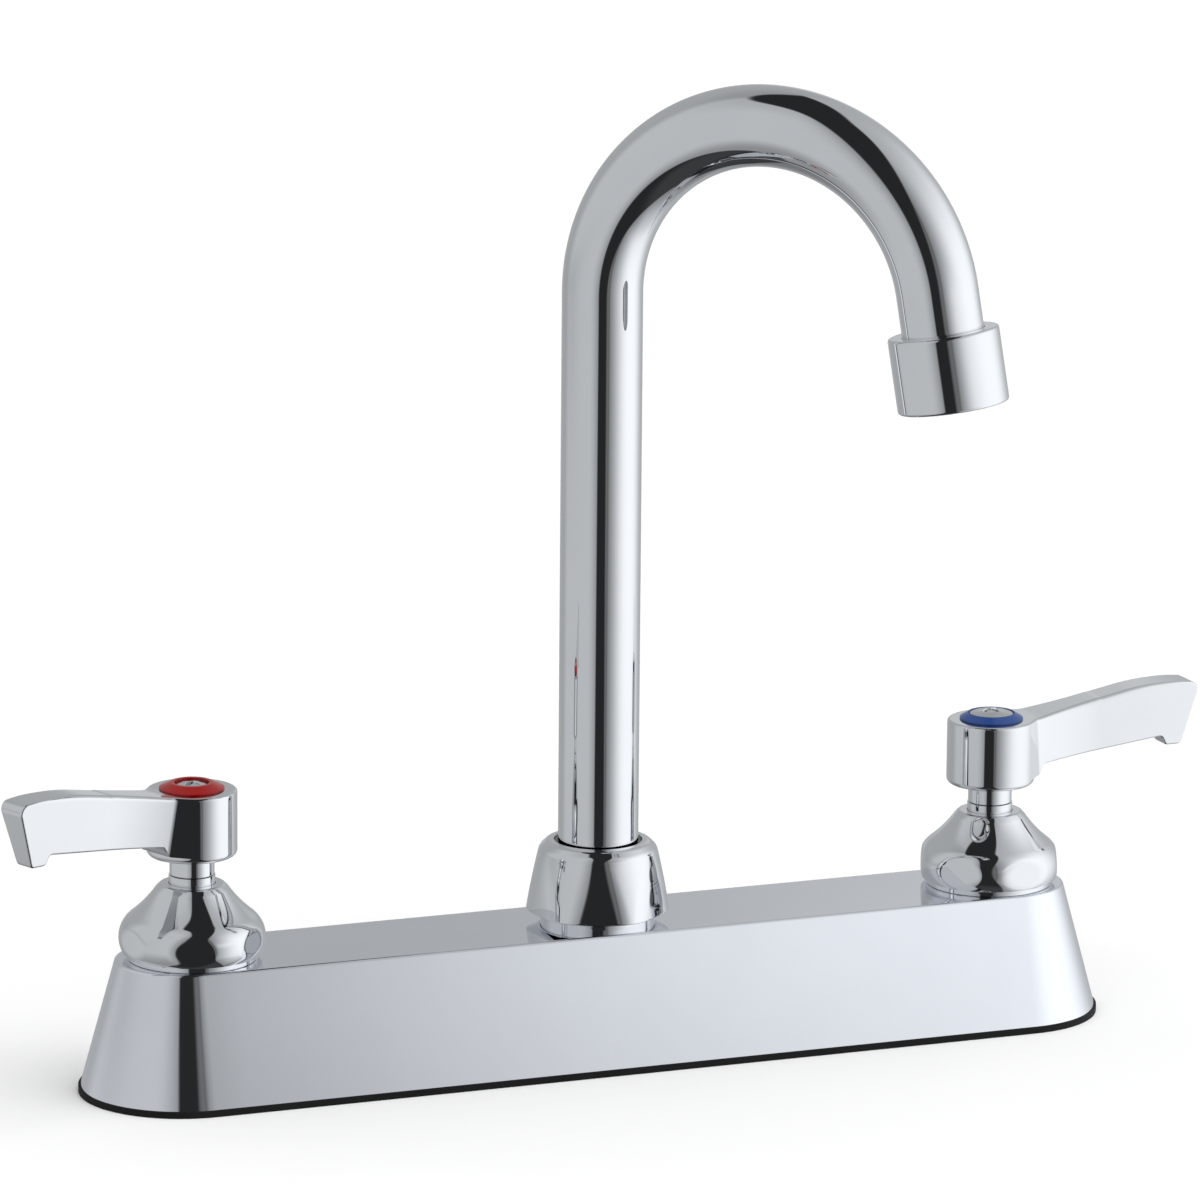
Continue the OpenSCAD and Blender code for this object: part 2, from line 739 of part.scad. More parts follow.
module spout_spigot() {
    color(brass) in_spout() translate([0, 0, spigot_z]) difference() {
        union() {
            cylinder(r = tube_r, h = spigot_len);
            cylinder(r = tube_bore_r - fit_gap, h = spigot_len + tube_r);
        }
        translate([0, 0, -past]) cylinder(r = spigot_bore_r, h = spigot_len + tube_r + 2 * past);
        for (place = [1, 3])
            translate([0, 0, place * spigot_len / 4 - spout_ring_r - fit_gap])
                tube(tube_r + past, tube_r - 2 * spout_ring_r - fit_gap, 2 * (spout_ring_r + fit_gap));
    }
}

module spout_ring(place) {
    color(rubber) in_spout() translate([0, 0, spigot_z + place * spigot_len / 4])
        sealing_ring(tube_r, spout_ring_r);
}

module spout_ring_lower() { spout_ring(1); }
module spout_ring_upper() { spout_ring(3); }

module spout_collar() {
    color(brass) in_spout() translate([0, 0, spout_collar_z]) tube(spout_collar_r, tube_r + fit_gap, spout_collar_t);
}

module spout_tube() {
    color(chrome) union() {
        in_spout() translate([0, 0, tube_foot]) rotate([0, 0, 180])
            tube(tube_r, tube_bore_r, riser_top - tube_foot);
        in_spout() translate([bend_r, 0, riser_top]) rotate([90, 0, 0])
            rotate_extrude(angle = bend_angle, start = 180 - bend_angle)
                translate([bend_r, 0]) ring_plane(tube_r, tube_bore_r);
        at_outlet() translate([0, 0, -outlet_run]) rotate([0, 0, 180])
            tube(tube_r, tube_bore_r, outlet_run + socket_depth);
    }
}

// Outlet, with its local Z along the flow and 0 at the fitting's top
module outlet_fitting() {
    color(chrome) at_outlet() difference() {
        rotate_extrude() eased([
            [0, 0, 0], [fitting_r, 0, fitting_edge], [fitting_r, fitting_h, fitting_edge], [0, fitting_h, 0]
        ]);
        translate([0, 0, -past]) cylinder(r = tube_r + fit_gap, h = socket_depth + 2 * past);
        translate([0, 0, socket_depth]) cylinder(r = outlet_thread_r, h = fitting_h);
    }
}

module aerator_washer() {
    color(rubber) at_outlet() translate([0, 0, washer_z]) tube(aerator_r, tube_bore_r, washer_t);
}

module aerator_shell() {
    color(chrome) at_outlet() {
        translate([0, 0, aerator_z]) tube(aerator_r, aerator_r - aerator_wall, straightener_foot - aerator_z);
        translate([0, 0, straightener_foot])
            tube(aerator_r, aerator_r - aerator_wall - aerator_lip, aerator_lip_t);
    }
}

module aerator_screen() {
    color(steel) at_outlet() translate([0, 0, aerator_z]) tube(insert_r, jet_r, screen_t);
}

module flow_straightener() {
    color(nylon) at_outlet() translate([0, 0, straightener_z]) linear_extrude(straightener_foot - straightener_z)
        difference() {
            circle(insert_r);
            circle(jet_r);
            for (row = [1:jet_rings], hole = [1:6 * row])
                rotate(60 * hole / row) translate([row * jet_pitch, 0]) circle(jet_r);
        }
}

base_gasket();
deck_body();
on_hot() seat_seal();  // hot_seat_seal
on_cold() seat_seal();  // cold_seat_seal
on_hot() fixed_disc();  // hot_fixed_disc
on_cold() fixed_disc();  // cold_fixed_disc
on_hot() valve_body();  // hot_valve_body
on_cold() valve_body();  // cold_valve_body
on_hot() bonnet_seal();  // hot_bonnet_seal
on_cold() bonnet_seal();  // cold_bonnet_seal
on_hot() bonnet(hot_bonnet_turn);  // hot_bonnet
on_cold() bonnet(cold_bonnet_turn);  // cold_bonnet
on_hot() moving_disc();  // hot_moving_disc
on_cold() moving_disc();  // cold_moving_disc
on_hot() stem();  // hot_stem
on_cold() stem();  // cold_stem
on_hot() stem_ring();  // hot_stem_ring
on_cold() stem_ring();  // cold_stem_ring
as_hot_handle() lever();  // hot_lever
as_cold_handle() lever();  // cold_lever
as_hot_handle() index_ring(hot_red);  // hot_index_ring
as_cold_handle() index_ring(cold_blue);  // cold_index_ring
as_hot_handle() screw();  // hot_screw
as_cold_handle() screw();  // cold_screw
spout_post();
spout_bearing();
spout_nut();
spout_spigot();
spout_ring_lower();
spout_ring_upper();
spout_collar();
spout_tube();
outlet_fitting();
aerator_washer();
aerator_shell();
aerator_screen();
flow_straightener();
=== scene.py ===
"""Looks of the deck-mounted gooseneck mixer tap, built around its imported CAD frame.

Sizes in the classes are millimetres, as on a drawing. They become metres when a mesh is made.
"""

import json
import logging
import math
from dataclasses import dataclass
from enum import Enum
from functools import cache

import bmesh
import bpy
import numpy as np
from mathutils import Matrix, Vector


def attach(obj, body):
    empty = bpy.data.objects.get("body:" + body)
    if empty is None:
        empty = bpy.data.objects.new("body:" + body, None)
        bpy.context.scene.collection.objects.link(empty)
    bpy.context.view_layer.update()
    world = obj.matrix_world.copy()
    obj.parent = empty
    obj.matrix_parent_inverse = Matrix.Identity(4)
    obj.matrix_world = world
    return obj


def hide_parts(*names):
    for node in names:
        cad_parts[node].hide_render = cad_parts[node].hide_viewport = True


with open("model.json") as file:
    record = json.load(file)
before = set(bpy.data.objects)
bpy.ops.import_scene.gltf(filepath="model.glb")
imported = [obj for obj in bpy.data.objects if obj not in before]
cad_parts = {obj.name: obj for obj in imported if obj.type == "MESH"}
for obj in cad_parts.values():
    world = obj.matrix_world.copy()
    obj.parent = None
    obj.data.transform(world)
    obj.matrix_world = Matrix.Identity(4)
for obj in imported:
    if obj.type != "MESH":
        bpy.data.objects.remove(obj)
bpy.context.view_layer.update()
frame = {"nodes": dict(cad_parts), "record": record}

LOG = logging.getLogger("tap")
Array = np.ndarray
Corner = tuple[float, float, float]
Place = tuple[float, float, float]
Colour = tuple[float, float, float]
Inputs = dict[str | int, object]

# Metres in a millimetre
MM = 0.001
# Points of a mesh closer than this many metres are welded
WELD_M = 2e-6
# Distance from an arc to the point that keeps smooth shading within it
HOLD = 0.06
# Most degrees between two points on a rounded corner
ARC_STEP = 9.0
# Degrees between two faces from which their edge is sharp
CREASE = 34.0
# Distance of each valve's axis from the middle of the body
VALVE_X = 101.6


class Slot(Enum):
    """Material slots of the record."""

    CHROME = "chrome_plate"
    BRASS = "plain_brass"
    RUBBER = "black_rubber"
    CERAMIC = "white_ceramic"
    NYLON = "white_nylon"
    RED = "hot_red"
    BLUE = "cold_blue"
    STEEL = "bright_steel"


class Body(Enum):
    """Moving bodies of the tap."""

    DECK = "deck"
    SPOUT = "spout"
    HOT = "hot_handle"
    COLD = "cold_handle"


# Shapes


@dataclass
class Grid:
    """A patch of surface: rows and columns of points in millimetres.

    A ring joins its last column to the first, and a loop joins its last row to the first.
    """

    points: Array
    ring: bool = False
    loop: bool = False

    def quads(self) -> Array:
        """Numbers the four corners of every cell.

        Returns:
            One row of four point numbers per face, counted from 0.
        """
        rows, columns = self.points.shape[:2]
        number = np.arange(rows * columns).reshape(rows, columns)
        if self.loop:
            number = np.vstack([number, number[:1]])
        if self.ring:
            number = np.hstack([number, number[:, :1]])
        corners = (number[:-1, :-1], number[:-1, 1:], number[1:, 1:], number[1:, :-1])
        return np.stack([corner.ravel() for corner in corners], axis=1)

    def mirrored(self) -> "Grid":
        """The same patch on the other side of the plane y = 0."""
        return Grid(self.points * np.array((1.0, -1.0, 1.0)), self.ring, self.loop)

    def placed(self, turn: float, shift: Place) -> "Grid":
        """Turns the patch about the upright axis, then shifts it.

        Args:
            turn: Angle in degrees.
            shift: Offset in millimetres.

        Returns:
            The patch in its new place.
        """
        c, s = math.cos(math.radians(turn)), math.sin(math.radians(turn))
        matrix = np.array(((c, -s, 0.0), (s, c, 0.0), (0.0, 0.0, 1.0)))
        return Grid(self.points @ matrix.T + np.array(shift), self.ring, self.loop)


def smooth_share(value: Array) -> Array:
    """An S-curve from 0 to 1: 3 t squared less 2 t cubed, with t held between 0 and 1."""
    held = np.clip(value, 0.0, 1.0)
    return held * held * (3.0 - 2.0 * held)


def soft_minimum(a: Array, b: Array, width: float) -> Array:
    """The smaller of two values, with the corner between them rounded over a width.

    Args:
        a: First value.
        b: Second value.
        width: How far apart the two may be and still be blended.

    Returns:
        The blended minimum, at most a quarter of the width below the plain one.
    """
    share = np.clip(0.5 + 0.5 * (b - a) / width, 0.0, 1.0)
    return b + (a - b) * share - width * share * (1.0 - share)


def arc(centre: tuple[float, float], radius: float, start: float, end: float, steps: int) -> Array:
    """Points at even angles on a circle, from one angle to another.

    Args:
        centre: Middle of the circle.
        radius: Its radius.
        start: First angle in degrees.
        end: Last angle in degrees.
        steps: Number of spaces between the points.

    Returns:
        Points as rows.
    """
    angle = np.radians(np.linspace(start, end, steps + 1))
    return np.array(centre) + radius * np.stack([np.cos(angle), np.sin(angle)], axis=1)


def eased(corners: list[Corner], closed: bool = True) -> Array:
    """An outline whose corners are rounded, each by an arc that touches both of its sides.

    Close beside each arc stands one more point, so that smooth shading stays within the arc.

    Args:
        corners: Corners as x, y and radius.
        closed: Whether the last corner joins the first.

    Returns:
        Points of the outline as rows.
    """
    places = np.array(corners)[:, :2]
    parts = []
    for index, (here, radius) in enumerate(zip(places, np.array(corners)[:, 2])):
        at_end = not closed and index in (0, len(corners) - 1)
        if radius <= 0.0 or at_end:
            parts.append(here[None])
            continue
        back = places[index - 1] - here
        ahead = places[(index + 1) % len(places)] - here
        back = back / np.linalg.norm(back)
        ahead = ahead / np.linalg.norm(ahead)
        half = 0.5 * math.acos(float(np.clip(back @ ahead, -1.0, 1.0)))
        reach = radius / math.tan(half)
        middle = back + ahead
        centre = here + middle / np.linalg.norm(middle) * radius / math.sin(half)
        spoke = here + back * reach - centre
        first = math.atan2(spoke[1], spoke[0])
        turn = math.pi - 2.0 * half
        if back[0] * ahead[1] - back[1] * ahead[0] > 0.0:
            turn = -turn
        steps = max(3, math.ceil(abs(math.degrees(turn)) / ARC_STEP))
        parts.append((here + back * (reach + HOLD))[None])
        parts.append(arc(tuple(centre), radius, math.degrees(first), math.degrees(first + turn), steps))
        parts.append((here + ahead * (reach + HOLD))[None])
    return np.vstack(parts)


def turned(profile: Array, columns: int, loop: bool = True) -> Grid:
    """A surface of revolution: x is radius times cosine, y is radius times sine, z is height.

    Args:
        profile: Rows of radius and height.
        columns: Number of points round the axis.
        loop: Whether the profile is closed. An open one starts and ends on the axis.

    Returns:
        The patch.
    """
    angle = np.linspace(0.0, 2.0 * math.pi, columns, endpoint=False)
    radius = profile[:, :1]
    height = np.broadcast_to(profile[:, 1:], (len(profile), columns))
    points = np.stack([radius * np.cos(angle), radius * np.sin(angle), height], axis=-1)
    return Grid(points, ring=True, loop=loop)


def resampled(points: Array, count: int) -> Array:
    """Points at even lengths along a line of points.

    Args:
        points: Rows of coordinates.
        count: Number of points wanted.

    Returns:
        The new points, with both ends kept.
    """
    step = np.linalg.norm(np.diff(points, axis=0), axis=1)
    run = np.concatenate([[0.0], np.cumsum(step)])
    wanted = np.linspace(0.0, run[-1], count)
    return np.stack([np.interp(wanted, run, points[:, axis]) for axis in range(points.shape[1])], axis=1)


def cut_flats(grid: Grid, rows: int, turn: float, reach: Array, edge: float) -> None:
    """Holds the radius of a turned patch within six planes round its axis.

    A plane's reach at an angle is its reach at its middle over the cosine of the angle between.

    Args:
        grid: Turned patch, changed in place.
        rows: How many of its first rows are cut.
        turn: Angle of the first plane in degrees.
        reach: Reach of the planes at each of those rows.
        edge: Width over which plane and turned surface are blended.
    """
    outer = grid.points[:rows]
    angle = np.linspace(0.0, 2.0 * math.pi, outer.shape[1], endpoint=False) - math.radians(turn)
    sixth = math.pi / 3.0
    off = (angle + 0.5 * sixth) % sixth - 0.5 * sixth
    radius = np.linalg.norm(outer[..., :2], axis=2)
    scale = soft_minimum(radius, reach[:, None] / np.cos(off), edge) / radius
    outer[..., :2] *= scale[..., None]


def make_piece(
    name: str,
    patches: list[Grid],
    body: Body,
    slot: Slot,
    nodes: list[str],
    finish: "Finish | None" = None,
) -> bpy.types.Object:
    """Welds patches into one smooth mesh, hangs it on its body and hides the CAD nodes that it stands for.

    Args:
        name: Name of the piece.
        patches: Its patches, in the frame's place.
        body: Body that it moves with.
        slot: Slot that it takes its finish from.
        nodes: CAD nodes that it stands for.
        finish: Finish of its own, where it differs from the slot's.

    Returns:
        The piece.
    """
    counts = [patch.points.shape[0] * patch.points.shape[1] for patch in patches]
    starts = np.concatenate([[0], np.cumsum(counts)[:-1]]).astype(int)
    points = np.vstack([patch.points.reshape(-1, 3) for patch in patches]) * MM
    faces = np.vstack([patch.quads() + start for patch, start in zip(patches, starts)])
    mesh = bpy.data.meshes.new(name)
    mesh.from_pydata(points.tolist(), [], faces.tolist())
    work = bmesh.new()
    work.from_mesh(mesh)
    bmesh.ops.remove_doubles(work, verts=work.verts, dist=WELD_M)
    loose = [edge for edge in work.edges if not edge.link_faces]
    bmesh.ops.delete(work, geom=loose, context="EDGES")
    bmesh.ops.recalc_face_normals(work, faces=work.faces)
    work.to_mesh(mesh)
    work.free()
    mesh.shade_smooth()
    mesh.set_sharp_from_angle(angle=math.radians(CREASE))
    piece = bpy.data.objects.new(name, mesh)
    bpy.context.scene.collection.objects.link(piece)
    mesh.materials.append((finish or FINISHES[slot]).material())
    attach(piece, body.value)
    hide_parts(*nodes)
    LOG.info("%s: %d faces, on %s", name, len(mesh.polygons), body.value)
    return piece


# Finishes


class Wiring:
    """Adds nodes to a node tree and gives their inputs values or links."""

    def __init__(self, tree: bpy.types.NodeTree) -> None:
        """Keeps the tree and starts with none of its nodes."""
        self.tree = tree
        self.tree.nodes.clear()

    def give(self, node: bpy.types.Node, inputs: Inputs) -> None:
        """Sets inputs of a node, each to a plain value or by a link from an output.

        Args:
            node: The node.
            inputs: Values or outputs, by the input's name or number.
        """
        for key, value in inputs.items():
            if isinstance(value, bpy.types.NodeSocket):
                self.tree.links.new(value, node.inputs[key])
            else:
                node.inputs[key].default_value = value

    def add(self, kind: str, inputs: Inputs | None = None, **settings: object) -> bpy.types.Node:
        """Adds one node.

        Args:
            kind: Blender's name of the node type.
            inputs: Its inputs, as in give.
            settings: Properties of the node, by name.

        Returns:
            The node.
        """
        node = self.tree.nodes.new(kind)
        for key, value in settings.items():
            setattr(node, key, value)
        self.give(node, inputs or {})
        return node

    def noise(
        self, place: bpy.types.NodeSocket, scale: object, detail: float, roughness: float = 0.5
    ) -> bpy.types.NodeSocket:
        """Adds a noise texture.

        Args:
            place: Where it is read.
            scale: Its scale, as a value or an output.
            detail: How many finer layers it has.
            roughness: How strong those are.

        Returns:
            The noise, from 0 to 1.
        """
        inputs = {"Vector": place, "Scale": scale, "Detail": detail, "Roughness": roughness}
        return self.add("ShaderNodeTexNoise", inputs).outputs["Fac"]

    def ranged(self, value: bpy.types.NodeSocket, limits: Inputs) -> bpy.types.NodeSocket:
        """Maps a number from one range to another; a limit that isn't given is 0 or 1."""
        return self.add("ShaderNodeMapRange", {"Value": value, **limits}).outputs["Result"]

    def mix(
        self, share: object, first: object, second: object, colours: bool = False
    ) -> bpy.types.NodeSocket:
        """Blends two numbers or two colours, each a value or an output.

        Args:
            share: How much of the second is taken, from 0 to 1.
            first: The first of the two.
            second: The second of the two.
            colours: Whether they are colours.

        Returns:
            The blend.
        """
        kind, place, result = ("RGBA", 6, 2) if colours else ("FLOAT", 2, 0)
        inputs = {"Factor": share, place: first, place + 1: second}
        return self.add("ShaderNodeMix", inputs, data_type=kind).outputs[result]


def blank_material(name: str) -> tuple[bpy.types.Material, Wiring]:
    """Makes a material with no nodes in it.

    Args:
        name: Name of the material.

    Returns:
        The material and its wiring.
    """
    made = bpy.data.materials.new(name)
    made.use_nodes = True
    return made, Wiring(made.node_tree)


def new_group(
    name: str, sizes: tuple[str, ...], results: tuple[str, ...]
) -> tuple[Wiring, bpy.types.Node, bpy.types.Node]:
    """Starts a shader node group that takes a place and some sizes and puts out numbers.

    Args:
        name: Name of the group.
        sizes: Names of the sizes.
        results: Names of the numbers that it puts out.

    Returns:
        The wiring of the group, its input node and its output node.
    """
    tree = bpy.data.node_groups.new(name, "ShaderNodeTree")
    tree.interface.new_socket(name="Place", in_out="INPUT", socket_type="NodeSocketVector")
    for key in sizes:
        tree.interface.new_socket(name=key, in_out="INPUT", socket_type="NodeSocketFloat")
    for key in results:
        tree.interface.new_socket(name=key, in_out="OUTPUT", socket_type="NodeSocketFloat")
    wiring = Wiring(tree)
    return wiring, wiring.add("NodeGroupInput"), wiring.add("NodeGroupOutput")


@cache
def polish_group() -> bpy.types.NodeTree:
    """The marks of polishing and handling: a cloudy haze, fine wiping lines and a slow ripple.

    Returns:
        The group, built once, with outputs Haze and Ripple from 0 to 1.
    """
    wiring, given, out = new_group("polish_marks", ("Cloud Size", "Ripple Size"), ("Haze", "Ripple"))
    place = given.outputs["Place"]
    stretch = wiring.add("ShaderNodeMapping", {"Vector": place, "Scale": (1.0, 1.0, 6.0)})
    cloud = wiring.noise(place, given.outputs["Cloud Size"], detail=3.0, roughness=0.55)
    wipe = wiring.noise(stretch.outputs["Vector"], scale=900.0, detail=2.0)
    both = wiring.mix(share=0.3, first=cloud, second=wipe)
    wiring.give(out, {
        "Haze": wiring.ranged(both, {"From Min": 0.35, "From Max": 0.7}),
        "Ripple": wiring.noise(place, given.outputs["Ripple Size"], detail=1.0, roughness=0.4),
    })
    return wiring.tree


@cache
def grain_group() -> bpy.types.NodeTree:
    """The skin of a moulded piece: fine grain over slow mottling.

    Returns:
        The group, built once, with outputs Mottle and Grain from 0 to 1.
    """
    names = ("Mottle", "Grain")
    wiring, given, out = new_group("moulded_skin", tuple(f"{name} Size" for name in names), names)
    for name in names:
        size = given.outputs[f"{name} Size"]
        noise = wiring.noise(given.outputs["Place"], size, detail=4.0, roughness=0.6)
        wiring.give(out, {name: wiring.ranged(noise, {"From Min": 0.3, "From Max": 0.7})})
    return wiring.tree


@dataclass(frozen=True)
class Finish:
    """What every finish has: a name, two near tones, two roughness limits and the depth of its relief."""

    name: str
    tone: Colour
    second_tone: Colour
    smooth: float
    rough: float
    relief: float

    @cache
    def material(self) -> bpy.types.Material:
        """Makes the material.

        Returns:
            The material, made once.
        """
        made, wiring = blank_material(self.name)
        self.wire(wiring)
        return made

    def wire(self, wiring: Wiring) -> bpy.types.Node:
        """Builds the material's nodes; each kind of finish has its own way."""
        raise NotImplementedError

    def shade(
        self,
        wiring: Wiring,
        mask: bpy.types.NodeSocket,
        height: bpy.types.NodeSocket,
        plain: Inputs,
    ) -> bpy.types.Node:
        """Adds the shader and the output that it feeds.

        Args:
            wiring: Wiring of the material.
            mask: Runs colour and roughness between their two limits, from 0 to 1.
            height: Height of the relief, from 0 to 1.
            plain: Inputs that are the same all over the surface.

        Returns:
            The Principled BSDF node.
        """
        depth = self.relief * MM
        bump = wiring.add("ShaderNodeBump", {"Height": height, "Strength": 1.0, "Distance": depth})
        shader = wiring.add("ShaderNodeBsdfPrincipled", {
            "Base Color": wiring.mix(mask, (*self.tone, 1.0), (*self.second_tone, 1.0), colours=True),
            "Roughness": wiring.ranged(mask, {"To Min": self.smooth, "To Max": self.rough}),
            "Normal": bump.outputs["Normal"],
            **plain,
        })
        wiring.add("ShaderNodeOutputMaterial", {"Surface": shader.outputs["BSDF"]})
        return shader


@dataclass(frozen=True)
class Metal(Finish):
    """A bare or plated metal with polishing marks."""

    cloud_size: float = 60.0
    ripple_size: float = 45.0

    def wire(self, wiring: Wiring) -> bpy.types.Node:
        """Runs the polishing marks into colour, roughness and a faint ripple.

        Args:
            wiring: Wiring of the material.

        Returns:
            The Principled BSDF node.
        """
        place = wiring.add("ShaderNodeTexCoord")
        marks = wiring.add("ShaderNodeGroup", node_tree=polish_group())
        wiring.give(marks, {
            "Place": place.outputs["Object"],
            "Cloud Size": self.cloud_size,
            "Ripple Size": self.ripple_size,
        })
        return self.shade(wiring, marks.outputs["Haze"], marks.outputs["Ripple"], {"Metallic": 1.0})


@dataclass(frozen=True)
class PartPlated(Metal):
    """Bare metal whose upper end, where it shows, is chrome plated."""

    plate_tone: Colour = (0.79, 0.80, 0.82)
    plate_rough: float = 0.03
    plate_from: float = 47.0
    plate_edge: float = 0.2

    def wire(self, wiring: Wiring) -> bpy.types.Node:
        """Wires the bare metal, then lays the plating over it above a height.

        Args:
            wiring: Wiring of the material.

        Returns:
            The Principled BSDF node.
        """
        shader = super().wire(wiring)
        place = wiring.add("ShaderNodeTexCoord")
        axes = wiring.add("ShaderNodeSeparateXYZ", {"Vector": place.outputs["Object"]})
        plated = wiring.ranged(axes.outputs["Z"], {
            "From Min": (self.plate_from - self.plate_edge) * MM,
            "From Max": (self.plate_from + self.plate_edge) * MM,
        })
        bare_tone = shader.inputs["Base Color"].links[0].from_socket
        bare_rough = shader.inputs["Roughness"].links[0].from_socket
        wiring.give(shader, {
            "Base Color": wiring.mix(plated, bare_tone, (*self.plate_tone, 1.0), colours=True),
            "Roughness": wiring.mix(plated, bare_rough, self.plate_rough),
        })
        return shader


@dataclass(frozen=True)
class Moulded(Finish):
    """Rubber, plastic or ceramic with a moulded skin."""

    grain_size: float = 2500.0
    mottle_size: float = 90.0
    gloss: float = 0.5

    def wire(self, wiring: Wiring) -> bpy.types.Node:
        """Runs the skin's mottling into colour and roughness and its grain into relief.

        Args:
            wiring: Wiring of the material.

        Returns:
            The Principled BSDF node.
        """
        place = wiring.add("ShaderNodeTexCoord")
        skin = wiring.add("ShaderNodeGroup", node_tree=grain_group())
        wiring.give(skin, {
            "Place": place.outputs["Object"],
            "Grain Size": self.grain_size,
            "Mottle Size": self.mottle_size,
        })
        plain = {"Specular IOR Level": self.gloss}
        return self.shade(wiring, skin.outputs["Mottle"], skin.outputs["Grain"], plain)


# The two tones, the roughness limits, the relief and the sizes of the marks on turned brass
BRASS_LOOK = ((0.78, 0.62, 0.30), (0.70, 0.53, 0.24), 0.18, 0.34, 0.004, 200.0, 600.0)

FINISHES: dict[Slot, Finish] = {
    Slot.CHROME: Metal("mirror_chrome", (0.79, 0.80, 0.82), (0.77, 0.78, 0.80), 0.015, 0.04, 0.0015),
    Slot.BRASS: Metal("machined_brass", *BRASS_LOOK),
    Slot.STEEL: Metal(
        "polished_steel", (0.72, 0.73, 0.74), (0.66, 0.67, 0.68), 0.06, 0.14, 0.002, 300.0, 200.0
    ),
    Slot.RUBBER: Moulded(
        "soft_rubber", (0.007, 0.007, 0.0075), (0.012, 0.012, 0.0125), 0.6, 0.8, 0.01, gloss=0.2
    ),
    Slot.NYLON: Moulded("moulded_nylon", (0.86, 0.85, 0.80), (0.80, 0.79, 0.74), 0.40, 0.55, 0.006),
    Slot.CERAMIC: Moulded("lapped_ceramic", (0.90, 0.88, 0.83), (0.85, 0.83, 0.78), 0.12, 0.22, 0.002),
    Slot.RED: Moulded(
        "red_index", (0.31, 0.004, 0.0025), (0.27, 0.0035, 0.002), 0.16, 0.26, 0.002, gloss=0.35
    ),
    Slot.BLUE: Moulded(
        "blue_index", (0.020, 0.064, 0.25), (0.017, 0.054, 0.21), 0.16, 0.26, 0.002, gloss=0.4
    ),
}

CAST_CHROME = Metal("cast_chrome", (0.845, 0.86, 0.905), (0.825, 0.84, 0.885), 0.02, 0.045, 0.002)
PLATED_BRASS = PartPlated("plated_brass", *BRASS_LOOK)
NODE_FINISHES: dict[str, Finish] = {"hot_valve_body": PLATED_BRASS, "cold_valve_body": PLATED_BRASS}


# Deck body


@dataclass
class DeckCasting:
    """The long casting: a sloping half profile carried round a path with two round ends."""

    half_run: float = 104.0
    valve_x: float = VALVE_X
    foot_r: float = 24.0
    foot_z: float = 1.6
    top_r: float = 15.8
    top_z: float = 32.0
    edge: float = 0.8
    inlet_r: float = 9.3
    inlet_top: float = 10.6
    seat_r: float = 4.5
    seat_z: float = 13.6
    run_steps: int = 26
    end_steps: int = 56
    cut_steps: int = 8

    def stations(self) -> tuple[Array, Array]:
        """Columns of the path: the front run, the right end, the back run and the left end.

        Returns:
            Centres on the middle line and outward directions, one row per column.
        """
        run = np.linspace(-self.half_run, self.half_run, self.run_steps + 1)
        swing = np.linspace(-0.5 * math.pi, 0.5 * math.pi, self.end_steps + 1)[1:-1]
        along = np.concatenate([run, 0.0 * swing + run[-1], run[::-1], 0.0 * swing + run[0]])
        ends = np.stack([np.cos(swing), np.sin(swing)], axis=1)
        back = np.stack([0.0 * run, 0.0 * run + 1.0], axis=1)
        return np.stack([along, 0.0 * along], axis=1), np.vstack([-back, ends, back, -ends])

    def shell(self) -> Grid:
        """Each profile point, an offset and a height, goes round: place = centre + offset times direction.

        Returns:
            The sloping sides, the eased top edge and the flat top, closed along the middle line.
        """
        profile = eased(
            [(self.foot_r, self.foot_z, 0.0), (self.top_r, self.top_z, self.edge), (0.0, self.top_z, 0.0)],
            closed=False,
        )
        centres, out = self.stations()
        flat = centres[None] + profile[:, :1, None] * out[None]
        height = np.broadcast_to(profile[:, 1:, None], (*flat.shape[:2], 1))
        return Grid(np.concatenate([flat, height], axis=2), ring=True)

    def underside(self, side: float) -> Grid:
        """Half of the foot face, drawn in on rays to an inlet, and the inlet's stepped bore.

        Args:
            side: -1 for the hot half, 1 for the cold half.

        Returns:
            The patch: the half's outline first, the middle of the seat last.
        """
        centres, out = self.stations()
        rim = centres + self.foot_r * out
        tiny = 1e-6
        half = rim[rim[:, 0] * side >= -tiny]
        middle = np.array((side * self.valve_x, 0.0))
        cut = np.linspace(-self.foot_r, self.foot_r, self.cut_steps + 1)[1:-1]
        half = np.vstack([half, np.stack([np.zeros_like(cut), cut], axis=1)])
        spoke = half - middle
        order = np.argsort(np.arctan2(side * spoke[:, 1], side * spoke[:, 0]))
        half = half[order]
        spoke = spoke[order] / np.linalg.norm(spoke[order], axis=1, keepdims=True)
        steps = (
            (self.inlet_r, self.foot_z),
            (self.inlet_r, self.inlet_top),
            (self.seat_r, self.inlet_top),
            (self.seat_r, self.seat_z),
            (0.0, self.seat_z),
        )
        rows = [np.column_stack([half, np.full(len(half), self.foot_z)])]
        rows += [np.column_stack([middle + r * spoke, np.full(len(half), z)]) for r, z in steps]
        return Grid(np.stack(rows), ring=True)

    def build(self) -> None:
        """Makes the casting."""
        patches = [self.shell(), self.underside(-1.0), self.underside(1.0)]
        make_piece("deck_casting", patches, Body.DECK, Slot.CHROME, ["deck_body"], CAST_CHROME)


# Valves and handles


